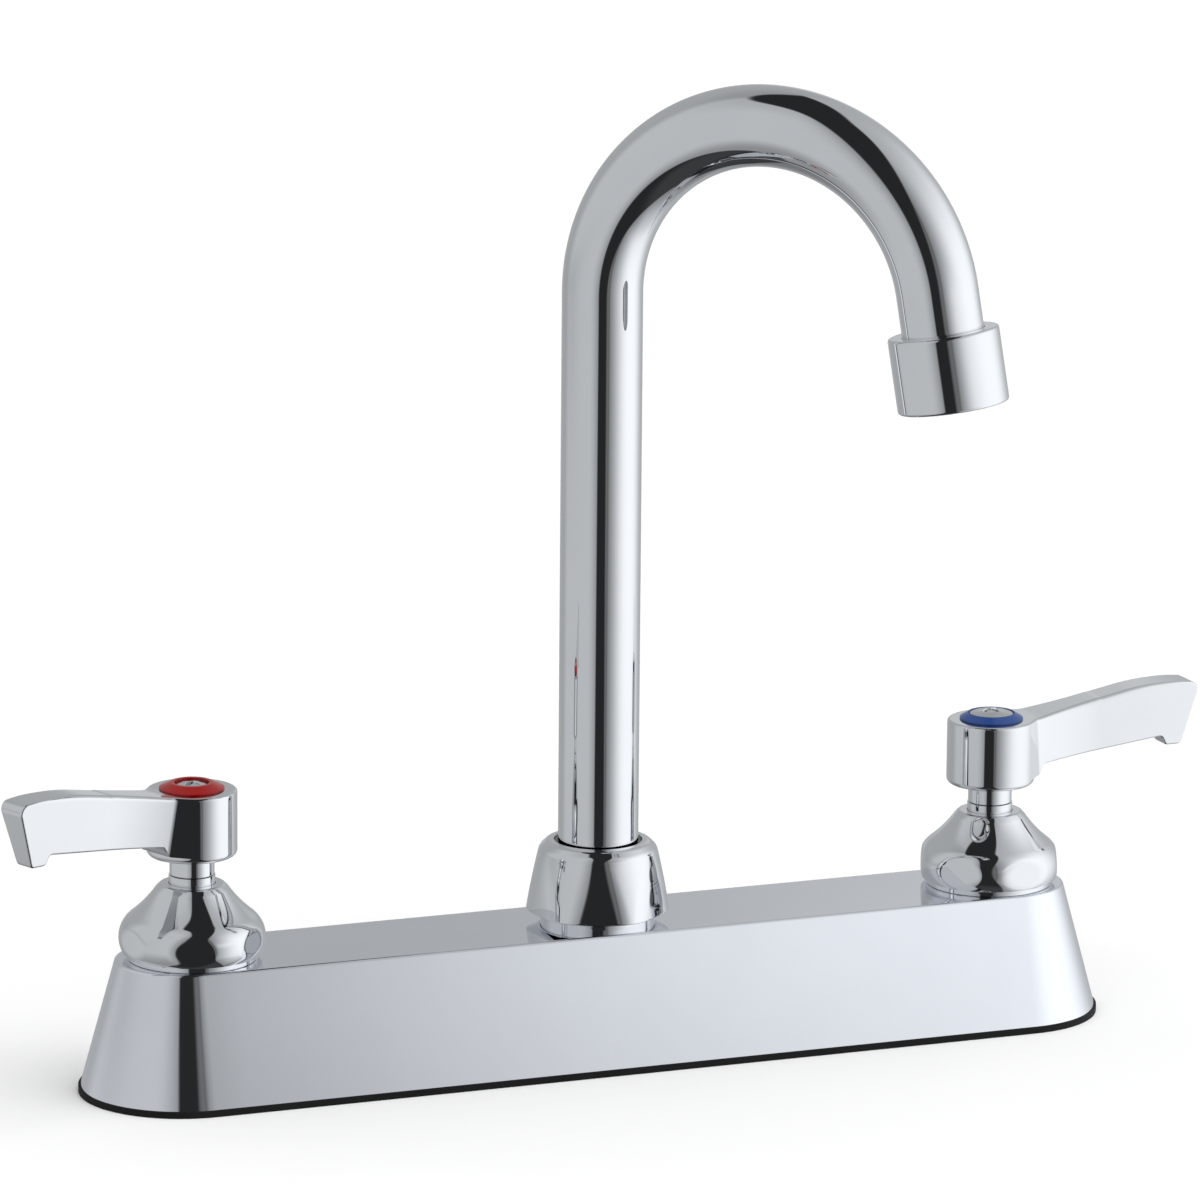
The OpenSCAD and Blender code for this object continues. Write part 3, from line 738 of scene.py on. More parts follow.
@dataclass
class Bonnet:
    """The bell over a valve: a bulging, flaring turning with six leaning flats."""

    foot_z: float = 32.6
    seal_r: float = 14.85
    lip_r: float = 15.3
    lip_h: float = 0.8
    lip_edge: float = 0.15
    groove: float = 0.35
    groove_edge: float = 0.12
    groove_lift: float = 0.08
    bulge_lift: float = 0.3
    skirt: float = 0.55
    bulge_x: float = 10.2
    bulge_z: float = 4.4
    bulge_r: float = 7.0
    shoulder: float = 51.5
    flare_r: float = 30.0
    neck_z: float = 16.2
    top_r: float = 7.5
    top_z: float = 17.4
    top_edge: float = 1.1
    hole_r: float = 5.55
    hollow_r: float = 13.0
    hollow_h: float = 8.0
    flat_reach: float = 16.3
    flat_lean: float = 2.5
    flat_edge: float = 0.5
    columns: int = 432
    bulge_steps: int = 64
    flare_steps: int = 36

    def profile(self) -> tuple[Array, int]:
        """Skirt, lip, bulge, hollow flare and top, then the hole and the room inside.

        The flare's circle touches the bulge's circle at the shoulder, on the other side of it.

        Returns:
            Rows of radius and height above the foot, and how many of them lie outside.
        """
        low = math.degrees(math.asin((self.lip_h + self.bulge_lift - self.bulge_z) / self.bulge_r))
        bulge = arc((self.bulge_x, self.bulge_z), self.bulge_r, low, self.shoulder, self.bulge_steps)
        lean = math.radians(self.shoulder)
        far = self.bulge_r + self.flare_r
        middle = (self.bulge_x + far * math.cos(lean), self.bulge_z + far * math.sin(lean))
        end = 180.0 + math.degrees(math.asin((middle[1] - self.neck_z) / self.flare_r))
        flare = arc(middle, self.flare_r, 180.0 + self.shoulder, end, self.flare_steps)[1:]
        lip = np.array([
            (self.seal_r, -self.skirt),
            (self.lip_r - self.lip_edge, -self.skirt),
            (self.lip_r, self.lip_edge - self.skirt),
            (self.lip_r, self.lip_h),
            (bulge[0, 0] - self.groove, self.lip_h),
            (bulge[0, 0] - self.groove_edge, self.lip_h + self.groove_lift),
        ])
        crown = eased([
            (flare[-1, 0], self.neck_z, 0.0),
            (self.top_r, self.top_z, self.top_edge),
            (self.hole_r, self.top_z, 0.0),
        ], closed=False)
        outer = np.vstack([lip, bulge, flare, crown[1:]])
        inner = np.array([
            (self.hole_r, self.hollow_h),
            (self.hollow_r, self.hollow_h),
            (self.hollow_r, 0.0),
            (self.seal_r, 0.0),
        ])
        return np.vstack([outer, inner]), len(outer)

    def surface(self, turn: float) -> Grid:
        """The turned profile, with its radius held within six planes that lean towards the axis.

        Args:
            turn: Angle of the first flat in degrees.

        Returns:
            The closed bell, standing on height 0.
        """
        profile, outside = self.profile()
        grid = turned(profile, self.columns)
        rise = profile[:outside, 1] - self.bulge_z
        reach = self.flat_reach - rise * math.tan(math.radians(self.flat_lean))
        cut_flats(grid, outside, turn, reach, self.flat_edge)
        return grid


@dataclass
class Lever:
    """The handle: a turned hub that runs over webs into a rising, tapering blade with a hooked tip.

    Local axes: u runs out along the blade, v across it, and h is the height above the hub's foot.
    """

    hub_z: float = 56.7
    hub_r: float = 10.6
    hub_h: float = 15.8
    hub_top_edge: float = 0.7
    foot_edge: float = 1.4
    neck_r: float = 5.25
    neck_h: float = 4.64
    neck_root: float = 0.4
    neck_fillet: float = 0.3
    neck_hold: float = 0.25
    neck_edge: float = 0.3
    drive_r: float = 3.6
    drive_h: float = 2.0
    length: float = 53.9
    root_w: float = 8.8
    tip_w: float = 7.0
    draft: float = 5.0
    web_angle: float = 52.0
    web_fillet: float = 3.0
    web_share: float = 0.25
    side_angle: float = 78.0
    side_fillet: float = 90.0
    side_share: float = 0.35
    start: float = 5.0
    ramp_from: float = 12.0
    ramp_to: float = 34.0
    ramp: float = 10.6
    setback: float = 8.6
    foot: float = 4.3
    root_foot: float = 2.0
    root_gap: float = 0.1
    root_run: float = 1.8
    root_rounds: int = 4
    lift: float = 3.7
    hook_drop: float = 2.4
    hook_len: float = 4.2
    end_slope: float = 16.0
    tip_edge: float = 2.2
    hook_edge: float = 1.1
    top_edge: float = 1.1
    side_edge: float = 0.5
    fine_from: float = 12.0
    fine_run: float = 8.0
    tip_from: float = 4.0
    hub_columns: int = 48
    fillet_columns: int = 60
    run_columns: int = 24
    run_first: float = 0.006
    crown_points: int = 40
    tip_columns: int = 84
    tip_steps: int = 24
    foot_steps: int = 12

    def __post_init__(self) -> None:
        """Works out the side view: a hollow arc, a ramp, a crowned arc, the tip's arc and the hook."""
        self.taper = (self.root_w - self.tip_w) / 2.0 / self.length
        self.slope = math.atan(self.taper)
        self.lean = math.tan(math.radians(self.draft))
        self.tilt = math.radians(self.ramp)
        peak = self.length - self.setback
        self.dip_r = (self.ramp_from - self.start) / math.sin(self.tilt)
        self.crown_r = (peak - self.ramp_to) / math.sin(self.tilt)
        high = self.hub_h + (self.dip_r + self.crown_r) * (1.0 - math.cos(self.tilt))
        high = high + (self.ramp_to - self.ramp_from) * math.tan(self.tilt)
        self.crown = np.array((peak, high - self.crown_r))
        reach = self.crown_r - self.tip_edge
        ahead = self.setback - self.tip_edge
        self.tip = np.array((self.length - self.tip_edge, self.crown[1] + math.sqrt(reach**2 - ahead**2)))
        out = math.radians(self.end_slope)
        self.tip_end = self.tip + self.tip_edge * np.array((math.cos(out), -math.sin(out)))
        self.tip_top = self.crown + self.crown_r / reach * (self.tip - self.crown)
        self.hook_foot = self.foot + self.lift - self.hook_drop
        self.end_u = self.tip_end[0] - (self.tip_end[1] - self.hook_foot) * math.tan(out)
        self.notch = np.array((self.end_u - self.hook_len - self.hook_drop / 2.0, self.foot + self.lift))
        self.under_rise = (self.notch[1] - self.foot) / (self.notch[0] - self.hub_r)
        self.seam = 0.5 * (self.tip_end + np.array((self.end_u, self.hook_foot)))
        # Shares of the half width across the top, angles round an edge and shares down a side
        self.across = np.array((0.0, 0.14, 0.28, 0.42, 0.56, 0.7, 0.84, 0.985))
        self.bend = np.radians(np.linspace(0.0, 90.0, 8))
        self.down = np.array((0.008, 0.25, 0.5, 0.75, 0.992))

    def top(self, u: Array) -> Array:
        """Height of the top: level on the hub, then a hollow arc, a straight ramp and a crowned arc.

        Args:
            u: Places along the blade.

        Returns:
            Heights above the hub's foot.
        """
        dip = np.clip(u - self.start, 0.0, self.ramp_from - self.start)
        hollow = self.hub_h + self.dip_r - np.sqrt(self.dip_r**2 - dip**2)
        straight = np.clip(u - self.ramp_from, 0.0, self.ramp_to - self.ramp_from) * math.tan(self.tilt)
        over = np.clip(u - self.crown[0], self.ramp_to - self.crown[0], None)
        crowned = np.sqrt(np.maximum(self.crown_r**2 - over**2, 0.0)) - self.crown_r * math.cos(self.tilt)
        return hollow + straight + crowned

    def under(self, u: Array) -> Array:
        """Height of the underside: straight, but close to the hub an S-curve takes it down to the foot.

        Args:
            u: Places along the blade.

        Returns:
            Heights above the hub's foot.
        """
        near = 1.0 - smooth_share((u - self.hub_r - self.root_gap) / self.root_run)
        return self.foot + (u - self.hub_r) * self.under_rise - (self.foot - self.root_foot) * near

    def upper_edge(self, u: Array) -> Array:
        """Rounding of the upper edge: full along the blade, small at the tip, an S-curve between."""
        share = smooth_share((u - self.length + self.fine_from) / self.fine_run)
        return self.top_edge + (self.side_edge - self.top_edge) * share

    def half_width(self, u: Array, h: Array) -> Array:
        """Half the blade's width: it tapers along the blade and narrows downwards."""
        return self.root_w / 2.0 - self.taper * u - (self.hub_h - h) * self.lean

    def plan(self, h: Array, inset: Array, hub_share: Array, fillet_share: Array) -> tuple[Array, Array]:
        """A point of the outline seen from above, between the hub's back and the blade, at a height.

        The hub's circle runs into a straight web that touches it, the web into a tight hollow arc, and that
        into a wide hollow arc that touches the blade's side. Each part is drawn in by the inset. Points are
        complex numbers here, u + iv, so that a unit vector at an angle is e to the i times the angle.

        Args:
            h: Height of the point.
            inset: How far inside the outline it lies.
            hub_share: From 0 at the hub's back to 1 where the web begins.
            fillet_share: From 0 at the hub to 1 at the blade, or below 0 for a point on the hub.

        Returns:
            The point's u and v.
        """
        meet = math.radians(self.web_angle)
        middle = math.radians(self.side_angle)
        last = 0.5 * math.pi - self.slope
        spread = self.side_fillet - self.web_fillet
        gap = self.half_width(0.0, h) + self.side_fillet / math.cos(self.slope)
        reach = self.hub_r + self.web_fillet + spread * math.cos(middle - meet)
        wide_u = (reach - gap * math.sin(meet)) / (math.cos(meet) - self.taper * math.sin(meet))
        wide = wide_u + 1j * (gap - self.taper * wide_u)
        tight = wide - spread * np.exp(1j * middle)
        out = np.exp(1j * meet)
        side_from = 1.0 - self.side_share
        along = np.clip(fillet_share / self.web_share, 0.0, 1.0)
        web = self.hub_r * out * (1.0 - along) + (tight - self.web_fillet * out) * along
        bent = np.clip((fillet_share - self.web_share) / (side_from - self.web_share), 0.0, 1.0)
        swept = np.clip((fillet_share - side_from) / self.side_share, 0.0, 1.0)
        point = np.select(
            [fillet_share < 0.0, fillet_share < self.web_share, fillet_share < side_from],
            [
                (self.hub_r - inset) * np.exp(1j * (math.pi + (meet - math.pi) * hub_share)),
                web - inset * out,
                tight - (self.web_fillet + inset) * np.exp(1j * (meet + (middle - meet) * bent)),
            ],
            wide - (self.side_fillet + inset) * np.exp(1j * (middle + (last - middle) * swept)),
        )
        return point.real, point.imag

    def root_columns(self) -> tuple[Array, Array, Array, Array]:
        """Columns on the hub and on the fillet.

        Returns:
            Hub share, fillet share, top edge rounding and bottom edge rounding of each column.
        """
        hub = np.linspace(0.0, 1.0, self.hub_columns)
        fillet = np.linspace(0.0, 1.0, self.fillet_columns + 1)[1:]
        hub_share = np.concatenate([hub, np.ones_like(fillet)])
        fillet_share = np.concatenate([-np.ones_like(hub), fillet])
        edge = self.hub_top_edge + (self.top_edge - self.hub_top_edge) * smooth_share(fillet_share)
        low_edge = self.side_edge * smooth_share(fillet_share)
        return hub_share, fillet_share, edge, low_edge

    def root_heights(self) -> tuple[Array, Array]:
        """Heights of the outline's upper and lower edge on the hub and fillet columns.

        The outline narrows downwards, so the lower height and its place are found in a few rounds.

        Returns:
            Upper heights and lower heights, one per column.
        """
        hub_share, fillet_share, edge, _ = self.root_columns()
        upper = self.top(self.plan(self.hub_h, 0.0, hub_share, fillet_share)[0])
        meet = float(self.plan(self.root_foot, 0.0, 1.0, -1.0)[0])
        lower = np.full_like(edge, self.foot)
        for _ in range(self.root_rounds):
            low_u = self.plan(lower, 0.0, hub_share, fillet_share)[0]
            lower = self.under(np.maximum(low_u, meet))
        return upper, lower

    def blade_lines(self) -> tuple[Array, Array]:
        """The side view's upper and lower line, from the fillet to a seam half way down the end face.

        Returns:
            Rows of u and h of the upper and of the lower line, paired station by station.
        """
        begin = self.notch[0] - self.tip_from
        share = np.concatenate([[self.run_first], np.linspace(0.0, 1.0, self.run_columns)[1:]])
        runs = []
        for level, height in ((self.hub_h, self.top), (self.foot, self.under)):
            start = float(self.plan(level, 0.0, 1.0, 1.0)[0])
            u = start + (begin - start) * share
            runs.append(np.stack([u, height(u)], axis=1))
        over_u = np.linspace(begin, self.tip_top[0], self.crown_points)
        first = math.degrees(math.atan2(*(self.tip_top - self.tip)[::-1]))
        over = np.vstack([
            np.stack([over_u, self.top(over_u)], axis=1)[:-1],
            arc(tuple(self.tip), self.tip_edge, first, -self.end_slope, self.tip_steps),
            self.seam[None],
        ])
        hook = eased([
            (begin, float(self.under(begin)), 0.0),
            (self.notch[0], self.notch[1], self.hook_edge),
            (self.notch[0] + self.hook_drop / 2.0, self.hook_foot, self.hook_edge),
            (self.end_u, self.hook_foot, self.hook_edge),
            (self.seam[0], self.seam[1], 0.0),
        ], closed=False)
        upper = np.vstack([runs[0], resampled(over, self.tip_columns)[1:]])
        lower = np.vstack([runs[1], resampled(hook, self.tip_columns)[1:]])
        return upper, lower

    @staticmethod
    def inward(line: Array, turn: float) -> Array:
        """Unit normals of a line of points, a quarter turn from its direction.

        Args:
            line: Rows of u and h.
            turn: 1 for the left side of the direction, -1 for the right side.

        Returns:
            One normal per point.
        """
        along = np.gradient(line, axis=0)
        along = along / np.linalg.norm(along, axis=1, keepdims=True)
        return turn * np.stack([-along[:, 1], along[:, 0]], axis=1)

    def edge_rows(self, line: Array, normal: Array, edge: Array) -> tuple[Array, Array]:
        """The rounded edge along one line of the blade: inset e(1 - sin), depth e(1 - cos).

        Args:
            line: Rows of u and h of the upper or lower line.
            normal: Normals into the material.
            edge: Radius of the rounding at each point.

        Returns:
            Rows by columns of u and h, and of v.
        """
        depth = (1.0 - np.cos(self.bend))[:, None] * edge
        inset = (1.0 - np.sin(self.bend))[:, None] * edge
        place = line[None] + depth[..., None] * normal[None]
        return place, self.half_width(place[..., 0], place[..., 1]) - inset

    def blade_skin(self) -> tuple[Array, Array]:
        """Upper skin and underside of the blade's stations for one side of the lever.

        Returns:
            Points of the skin from the middle of the top to the foot of the side, and points of the
            underside from there to its middle.
        """
        upper, lower = self.blade_lines()
        upper_edge, upper_v = self.edge_rows(upper, self.inward(upper, -1.0), self.upper_edge(upper[:, 0]))
        small = np.full(len(lower), self.side_edge)
        lower_edge, lower_v = self.edge_rows(lower, self.inward(lower, 1.0), small)
        shares = self.across[:, None]
        flat_top = np.broadcast_to(upper[None], (len(self.across), *upper.shape))
        flat_low = np.broadcast_to(lower[None], (len(self.across), *lower.shape))
        down = np.concatenate([self.down, [1.0]])[:, None, None]
        side = upper_edge[-1:] + (lower_edge[-1:] - upper_edge[-1:]) * down
        side_v = self.half_width(side[..., 0], side[..., 1])
        skin = np.concatenate([flat_top, upper_edge, side])
        skin_v = np.concatenate([shares * upper_v[:1], upper_v, side_v])
        base = np.concatenate([lower_edge[::-1], flat_low[::-1]])
        base_v = np.concatenate([lower_v[::-1], shares[::-1] * lower_v[:1]])
        return (
            np.stack([skin[..., 0], skin_v, skin[..., 1]], axis=-1),
            np.stack([base[..., 0], base_v, base[..., 1]], axis=-1),
        )

    def root_skin(self) -> tuple[Array, Array]:
        """Skin of the hub and fillet columns, and the underside between the fillets.

        The underside's lines bend round the hub: u is a blend of the circle through the edge point and
        of the edge point's own u, from the one at the hub to the other at the blade.

        Returns:
            Points as in blade_skin, the underside for the columns from the hub's end to the blade.
        """
        hub_share, fillet_share, edge, low_edge = self.root_columns()
        upper, lower = self.root_heights()
        turn = self.bend[:, None]
        edge_h = upper - edge * (1.0 - np.cos(turn))
        edge_u, edge_v = self.plan(edge_h, edge * (1.0 - np.sin(turn)), hub_share, fillet_share)
        shares = self.across[:, None]
        top_u = np.broadcast_to(edge_u[:1], (len(self.across), len(edge)))
        top_v = shares * edge_v[:1]
        top_h = np.broadcast_to(edge_h[:1], top_u.shape)
        down = np.concatenate([self.down, [1.0]])[:, None]
        side_h = edge_h[-1:] + (lower + low_edge - edge_h[-1:]) * down
        side_u, side_v = self.plan(side_h, 0.0, hub_share, fillet_share)
        skin = np.stack([
            np.vstack([top_u, edge_u, side_u]),
            np.vstack([top_v, edge_v, side_v]),
            np.vstack([top_h, edge_h, side_h]),
        ], axis=-1)
        first = self.hub_columns - 1
        hub_share, fillet_share = hub_share[first:], np.maximum(fillet_share[first:], 0.0)
        low_edge, lower = low_edge[first:], lower[first:]
        turn = turn[::-1]
        rim_h = lower + low_edge * (1.0 - np.cos(turn))
        rim_u, rim_v = self.plan(rim_h, low_edge * (1.0 - np.sin(turn)), hub_share, fillet_share)
        base_v = shares[::-1] * rim_v[-1:]
        circle = np.sqrt(np.maximum(rim_u[-1:] ** 2 + rim_v[-1:] ** 2 - base_v**2, 0.0))
        straight = smooth_share(fillet_share)
        base_u = (1.0 - straight) * circle + straight * rim_u[-1:]
        base_h = self.under(base_u)
        base = np.stack([
            np.vstack([rim_u, base_u]),
            np.vstack([rim_v, base_v]),
            np.vstack([rim_h, base_h]),
        ], axis=-1)
        return skin, base

    def lower_hub(self, skin: Array, base: Array) -> Grid:
        """The hub below the blade, its rounded foot, the neck and the drive's bore.

        Args:
            skin: Skin of the whole half lever, whose last row gives the hub's rim.
            base: Underside of the half lever, whose first column gives the arc under the blade.

        Returns:
            A turned patch whose first row is that rim and arc, all the way round.
        """
        rim = skin[-1, : self.hub_columns]
        under = base[len(self.bend):, 0]
        half = np.vstack([rim, under])
        flip = np.array((1.0, -1.0, 1.0))
        ring = np.vstack([half, half[-2:0:-1] * flip])
        angle = np.arctan2(ring[:, 1], ring[:, 0])
        middle = (self.hub_r - self.foot_edge, self.foot_edge)
        wall = np.vstack([
            (self.hub_r, self.foot_edge + HOLD),
            arc(middle, self.foot_edge, 0.0, -90.0, self.foot_steps),
            (self.neck_r + self.neck_fillet, 0.0),
            (self.neck_r, -self.neck_hold),
        ])
        neck = eased([
            (self.neck_r, -self.neck_root, 0.0),
            (self.neck_r, -self.neck_h, self.neck_edge),
            (self.drive_r, -self.neck_h, 0.0),
            (self.drive_r, self.drive_h - self.neck_h, 0.0),
            (0.0, self.drive_h - self.neck_h, 0.0),
        ], closed=False)
        profile = np.vstack([wall, neck])
        rows = np.stack([
            profile[:, :1] * np.cos(angle),
            profile[:, :1] * np.sin(angle),
            np.broadcast_to(profile[:, 1:], (len(profile), len(angle))),
        ], axis=-1)
        return Grid(np.concatenate([ring[None], rows]), ring=True)

    def surface(self) -> list[Grid]:
        """Joins root and blade and adds the mirror image of both.

        Returns:
            All patches of the lever in its local axes.
        """
        root_skin, root_base = self.root_skin()
        blade_skin, blade_base = self.blade_skin()
        skin = np.concatenate([root_skin, blade_skin], axis=1)
        base = np.concatenate([root_base, blade_base], axis=1)
        halves = [Grid(skin), Grid(base)]
        return [*halves, *[half.mirrored() for half in halves], self.lower_hub(skin, base)]


@dataclass
class IndexRing:
    """The coloured ring on top of the hub: a short band, a cone and a flat rim round the screw."""

    foot_z: float = 70.9
    spigot_r: float = 5.9
    spigot_h: float = 1.6
    outer_r: float = 7.65
    band_h: float = 0.4
    top_r: float = 5.5
    height: float = 1.6
    hole_r: float = 4.6
    floor_h: float = 0.8
    screw_r: float = 2.1
    foot_edge: float = 0.12
    band_edge: float = 0.2
    top_edge: float = 0.22
    hole_edge: float = 0.15
    columns: int = 144

    def surface(self) -> Grid:
        """The ring's closed profile, turned.

        Returns:
            The ring, standing on height 0.
        """
        top = self.spigot_h + self.height
        profile = eased([
            (self.screw_r, 0.0, 0.0),
            (self.spigot_r, 0.0, 0.0),
            (self.spigot_r, self.spigot_h, 0.0),
            (self.outer_r, self.spigot_h, self.foot_edge),
            (self.outer_r, self.spigot_h + self.band_h, self.band_edge),
            (self.top_r, top, self.top_edge),
            (self.hole_r, top, self.hole_edge),
            (self.hole_r, self.floor_h, 0.0),
            (self.screw_r, self.floor_h, 0.0),
        ])
        return turned(profile, self.columns)


@dataclass
class HandleScrew:
    """The domed screw in the middle of the ring, with a cross recess that deepens to its middle."""

    head_z: float = 71.7
    head_r: float = 4.45
    head_h: float = 3.1
    dome_h: float = 0.5
    rim: float = 0.15
    rim_drop: float = 0.1
    rim_edge: float = 0.12
    foot_edge: float = 0.2
    shank_r: float = 1.95
    shank_len: float = 18.0
    shank_edge: float = 0.3
    arm_half: float = 0.62
    arm_len: float = 2.6
    arm_slope: float = 0.6
    recess: float = 1.7
    wall: float = 0.18
    turn: float = 20.0
    columns: int = 192
    rings: int = 64

    def surface(self) -> Grid:
        """A dome over a disc, less the recess, then the head's side, its underside and the shank.

        The dome's height is that of a sphere's cap. The recess is its depth times an S-curve across the
        arm times a slope along it, where the arm runs along the larger of the two turned coordinates.

        Returns:
            The patch, closed on the axis at both ends.
        """
        ball = (self.head_r**2 + self.dome_h**2) / (2.0 * self.dome_h)
        radius = np.linspace(0.0, self.head_r - self.rim, self.rings)
        cap = self.head_h - ball + np.sqrt(ball**2 - radius**2)
        tail = eased([
            (radius[-1], cap[-1], 0.0),
            (self.head_r, self.head_h - self.dome_h - self.rim_drop, self.rim_edge),
            (self.head_r, 0.0, self.foot_edge),
            (self.shank_r, 0.0, 0.0),
            (self.shank_r, -self.shank_len, self.shank_edge),
            (0.0, -self.shank_len, 0.0),
        ], closed=False)
        profile = np.vstack([np.stack([radius, cap], axis=1), tail[1:]])
        grid = turned(profile, self.columns, loop=False)
        c, s = math.cos(math.radians(self.turn)), math.sin(math.radians(self.turn))
        dome = grid.points[: self.rings]
        x = np.abs(c * dome[..., 0] + s * dome[..., 1])
        y = np.abs(c * dome[..., 1] - s * dome[..., 0])
        along, beside = np.maximum(x, y), np.minimum(x, y)
        cut = smooth_share((self.arm_half - beside) / self.wall + 0.5)
        slope = smooth_share((self.arm_len - along) / (self.arm_slope * self.arm_len))
        dome[..., 2] -= self.recess * cut * slope
        return grid


@dataclass
class Valve:
    """One side of the tap: its bonnet, lever, index ring and screw on one axis."""

    name: str
    axis_x: float
    bonnet_turn: float
    lever_turn: float
    body: Body
    ring_slot: Slot
    bonnet: Bonnet
    ring: IndexRing
    screw: HandleScrew

    def build(self) -> None:
        """Makes the four pieces that show, first the bonnet and then the three that turn with the lever."""
        bell = self.bonnet.surface(self.bonnet_turn).placed(0.0, (self.axis_x, 0.0, self.bonnet.foot_z))
        make_piece(f"{self.name}_bell", [bell], Body.DECK, Slot.CHROME, [f"{self.name}_bonnet"])
        lever = Lever()
        turning = (
            ("handle_lever", "lever", lever.surface(), lever.hub_z, Slot.CHROME),
            ("index_cone", "index_ring", [self.ring.surface()], self.ring.foot_z, self.ring_slot),
            ("handle_screw", "screw", [self.screw.surface()], self.screw.head_z, Slot.STEEL),
        )
        for piece, node, patches, height, slot in turning:
            placed = [patch.placed(self.lever_turn, (self.axis_x, 0.0, height)) for patch in patches]
            make_piece(f"{self.name}_{piece}", placed, self.body, slot, [f"{self.name}_{node}"])


# Spout


@dataclass
class Gooseneck:
    """The spout: the domed nut at its foot, the bent tube and the fitting at its outlet."""

    nut_z: float = 33.6
    nut_foot_r: float = 14.3
    nut_wide_r: float = 17.05
    nut_wide_z: float = 34.5
    nut_rim_r: float = 14.05
    nut_rim_z: float = 49.7
    nut_flat_r: float = 12.2
    nut_top: float = 51.55
    nut_ceiling: float = 48.1
    nut_bore_r: float = 13.67
    nut_open_r: float = 10.5
    nut_reach: float = 16.0
    nut_lean: float = 2.7
    nut_blend: float = 1.4
    nut_crown: float = 0.15
    nut_rows: int = 25
    nut_foot_edge: float = 0.15
    nut_wide_edge: float = 0.35
    nut_rim_edge: float = 2.6
    nut_flat_edge: float = 1.8
    nut_turn: float = 7.5
    nut_columns: int = 288
    tube_r: float = 9.525
    tube_wall: float = 1.0
    tube_foot: float = 36.05
    riser_rows: tuple[float, ...] = (60.0, 100.0, 140.0, 170.0)
    riser_top: float = 183.6
    bend_gap: float = 0.5
    bend_points: int = 141
    bend_r: float = 42.5
    bend_angle: float = 170.182
    outlet_run: float = 9.3
    socket: float = 8.0
    turn: float = -46.0
    fitting_r: float = 12.95
    fitting_h: float = 17.6
    fitting_edge: float = 0.7
    socket_gap: float = 0.1
    socket_edge: float = 0.25
    thread_r: float = 11.3
    thread_edge: float = 0.3
    columns: int = 144

    def nut(self) -> Grid:
        """The nut's closed profile, turned: chamfered foot, crowned side with six flats, rolled rim.

        The side is a straight line, moved out by the crown times 4 s (1 - s), where s runs up it.

        Returns:
            The patch in the frame's place.
        """
        outer = eased([
            (self.nut_bore_r, self.nut_z, 0.0),
            (self.nut_foot_r, self.nut_z, self.nut_foot_edge),
            (self.nut_wide_r, self.nut_wide_z, self.nut_wide_edge),
            (self.nut_rim_r, self.nut_rim_z, self.nut_rim_edge),
            (self.nut_flat_r, self.nut_top, self.nut_flat_edge),
            (self.nut_open_r, self.nut_top, 0.0),
        ], closed=False)
        low = outer[:, 1] < 0.5 * (self.nut_wide_z + self.nut_rim_z)
        foot, rest = outer[low], outer[~low]
        share = np.linspace(0.0, 1.0, self.nut_rows + 1)[1:-1, None]
        cone = foot[-1] + (rest[0] - foot[-1]) * share
        cone[:, :1] += 4.0 * self.nut_crown * share * (1.0 - share)
        inner = np.array([(self.nut_open_r, self.nut_ceiling), (self.nut_bore_r, self.nut_ceiling)])
        profile = np.vstack([foot, cone, rest])
        grid = turned(np.vstack([profile, inner]), self.nut_columns)
        reach = self.nut_reach - (profile[:, 1] - self.nut_wide_z) * math.tan(math.radians(self.nut_lean))
        cut_flats(grid, len(profile), self.nut_turn, reach, self.nut_blend)
        return grid

    def axis_line(self) -> tuple[Array, Array]:
        """The tube's middle line: a straight riser, a bend on a circle and a short straight tail.

        Returns:
            Points of the line, and the directions across it in the bend's plane, away from its centre.
        """
        swing = np.radians(np.linspace(0.0, self.bend_angle, self.bend_points))
        spoke = np.stack([-np.cos(swing), 0.0 * swing, np.sin(swing)], axis=1)
        centre = np.array((self.bend_r, 0.0, self.riser_top))
        bend = centre + self.bend_r * spoke
        riser_z = np.array((self.tube_foot, *self.riser_rows, self.riser_top - self.bend_gap))
        riser = np.stack([0.0 * riser_z, 0.0 * riser_z, riser_z], axis=1)
        flow = np.array((math.sin(swing[-1]), 0.0, math.cos(swing[-1])))
        reach = np.array((self.bend_gap, self.outlet_run, self.outlet_run + self.socket))
        tail = bend[-1] + reach[:, None] * flow
        line = np.vstack([riser, bend, tail])
        repeats = np.ones(len(spoke), int)
        repeats[[0, -1]] += (len(riser), len(tail))
        across = np.repeat(spoke, repeats, axis=0)
        return line, across

    def tube(self) -> Grid:
        """A ring carried along the middle line: place = line + r (cos t across + sin t sideways).

        Returns:
            The outer wall out and the inner wall back, closed at both ends.
        """
        line, across = self.axis_line()
        angle = np.linspace(0.0, 2.0 * math.pi, self.columns, endpoint=False)
        sideways = np.array((0.0, 1.0, 0.0))
        ring = across[:, None] * np.cos(angle)[None, :, None] + sideways * np.sin(angle)[None, :, None]
        outer = line[:, None] + self.tube_r * ring
        inner = line[:, None] + (self.tube_r - self.tube_wall) * ring
        return Grid(np.concatenate([outer, inner[::-1]]), ring=True, loop=True)

    def at_outlet(self, grid: Grid) -> Grid:
        """Sets a patch at the end of the bend, with its height running along the flow.

        Args:
            grid: Patch in the outlet's own axes.

        Returns:
            The patch in the spout's axes, before the spout is turned.
        """
        a = math.radians(self.bend_angle)
        matrix = np.array((
            (math.cos(a), 0.0, math.sin(a)),
            (0.0, 1.0, 0.0),
            (-math.sin(a), 0.0, math.cos(a)),
        ))
        local = grid.points + np.array((-self.bend_r, 0.0, self.outlet_run))
        points = local @ matrix.T + np.array((self.bend_r, 0.0, self.riser_top))
        return Grid(points, grid.ring, grid.loop)

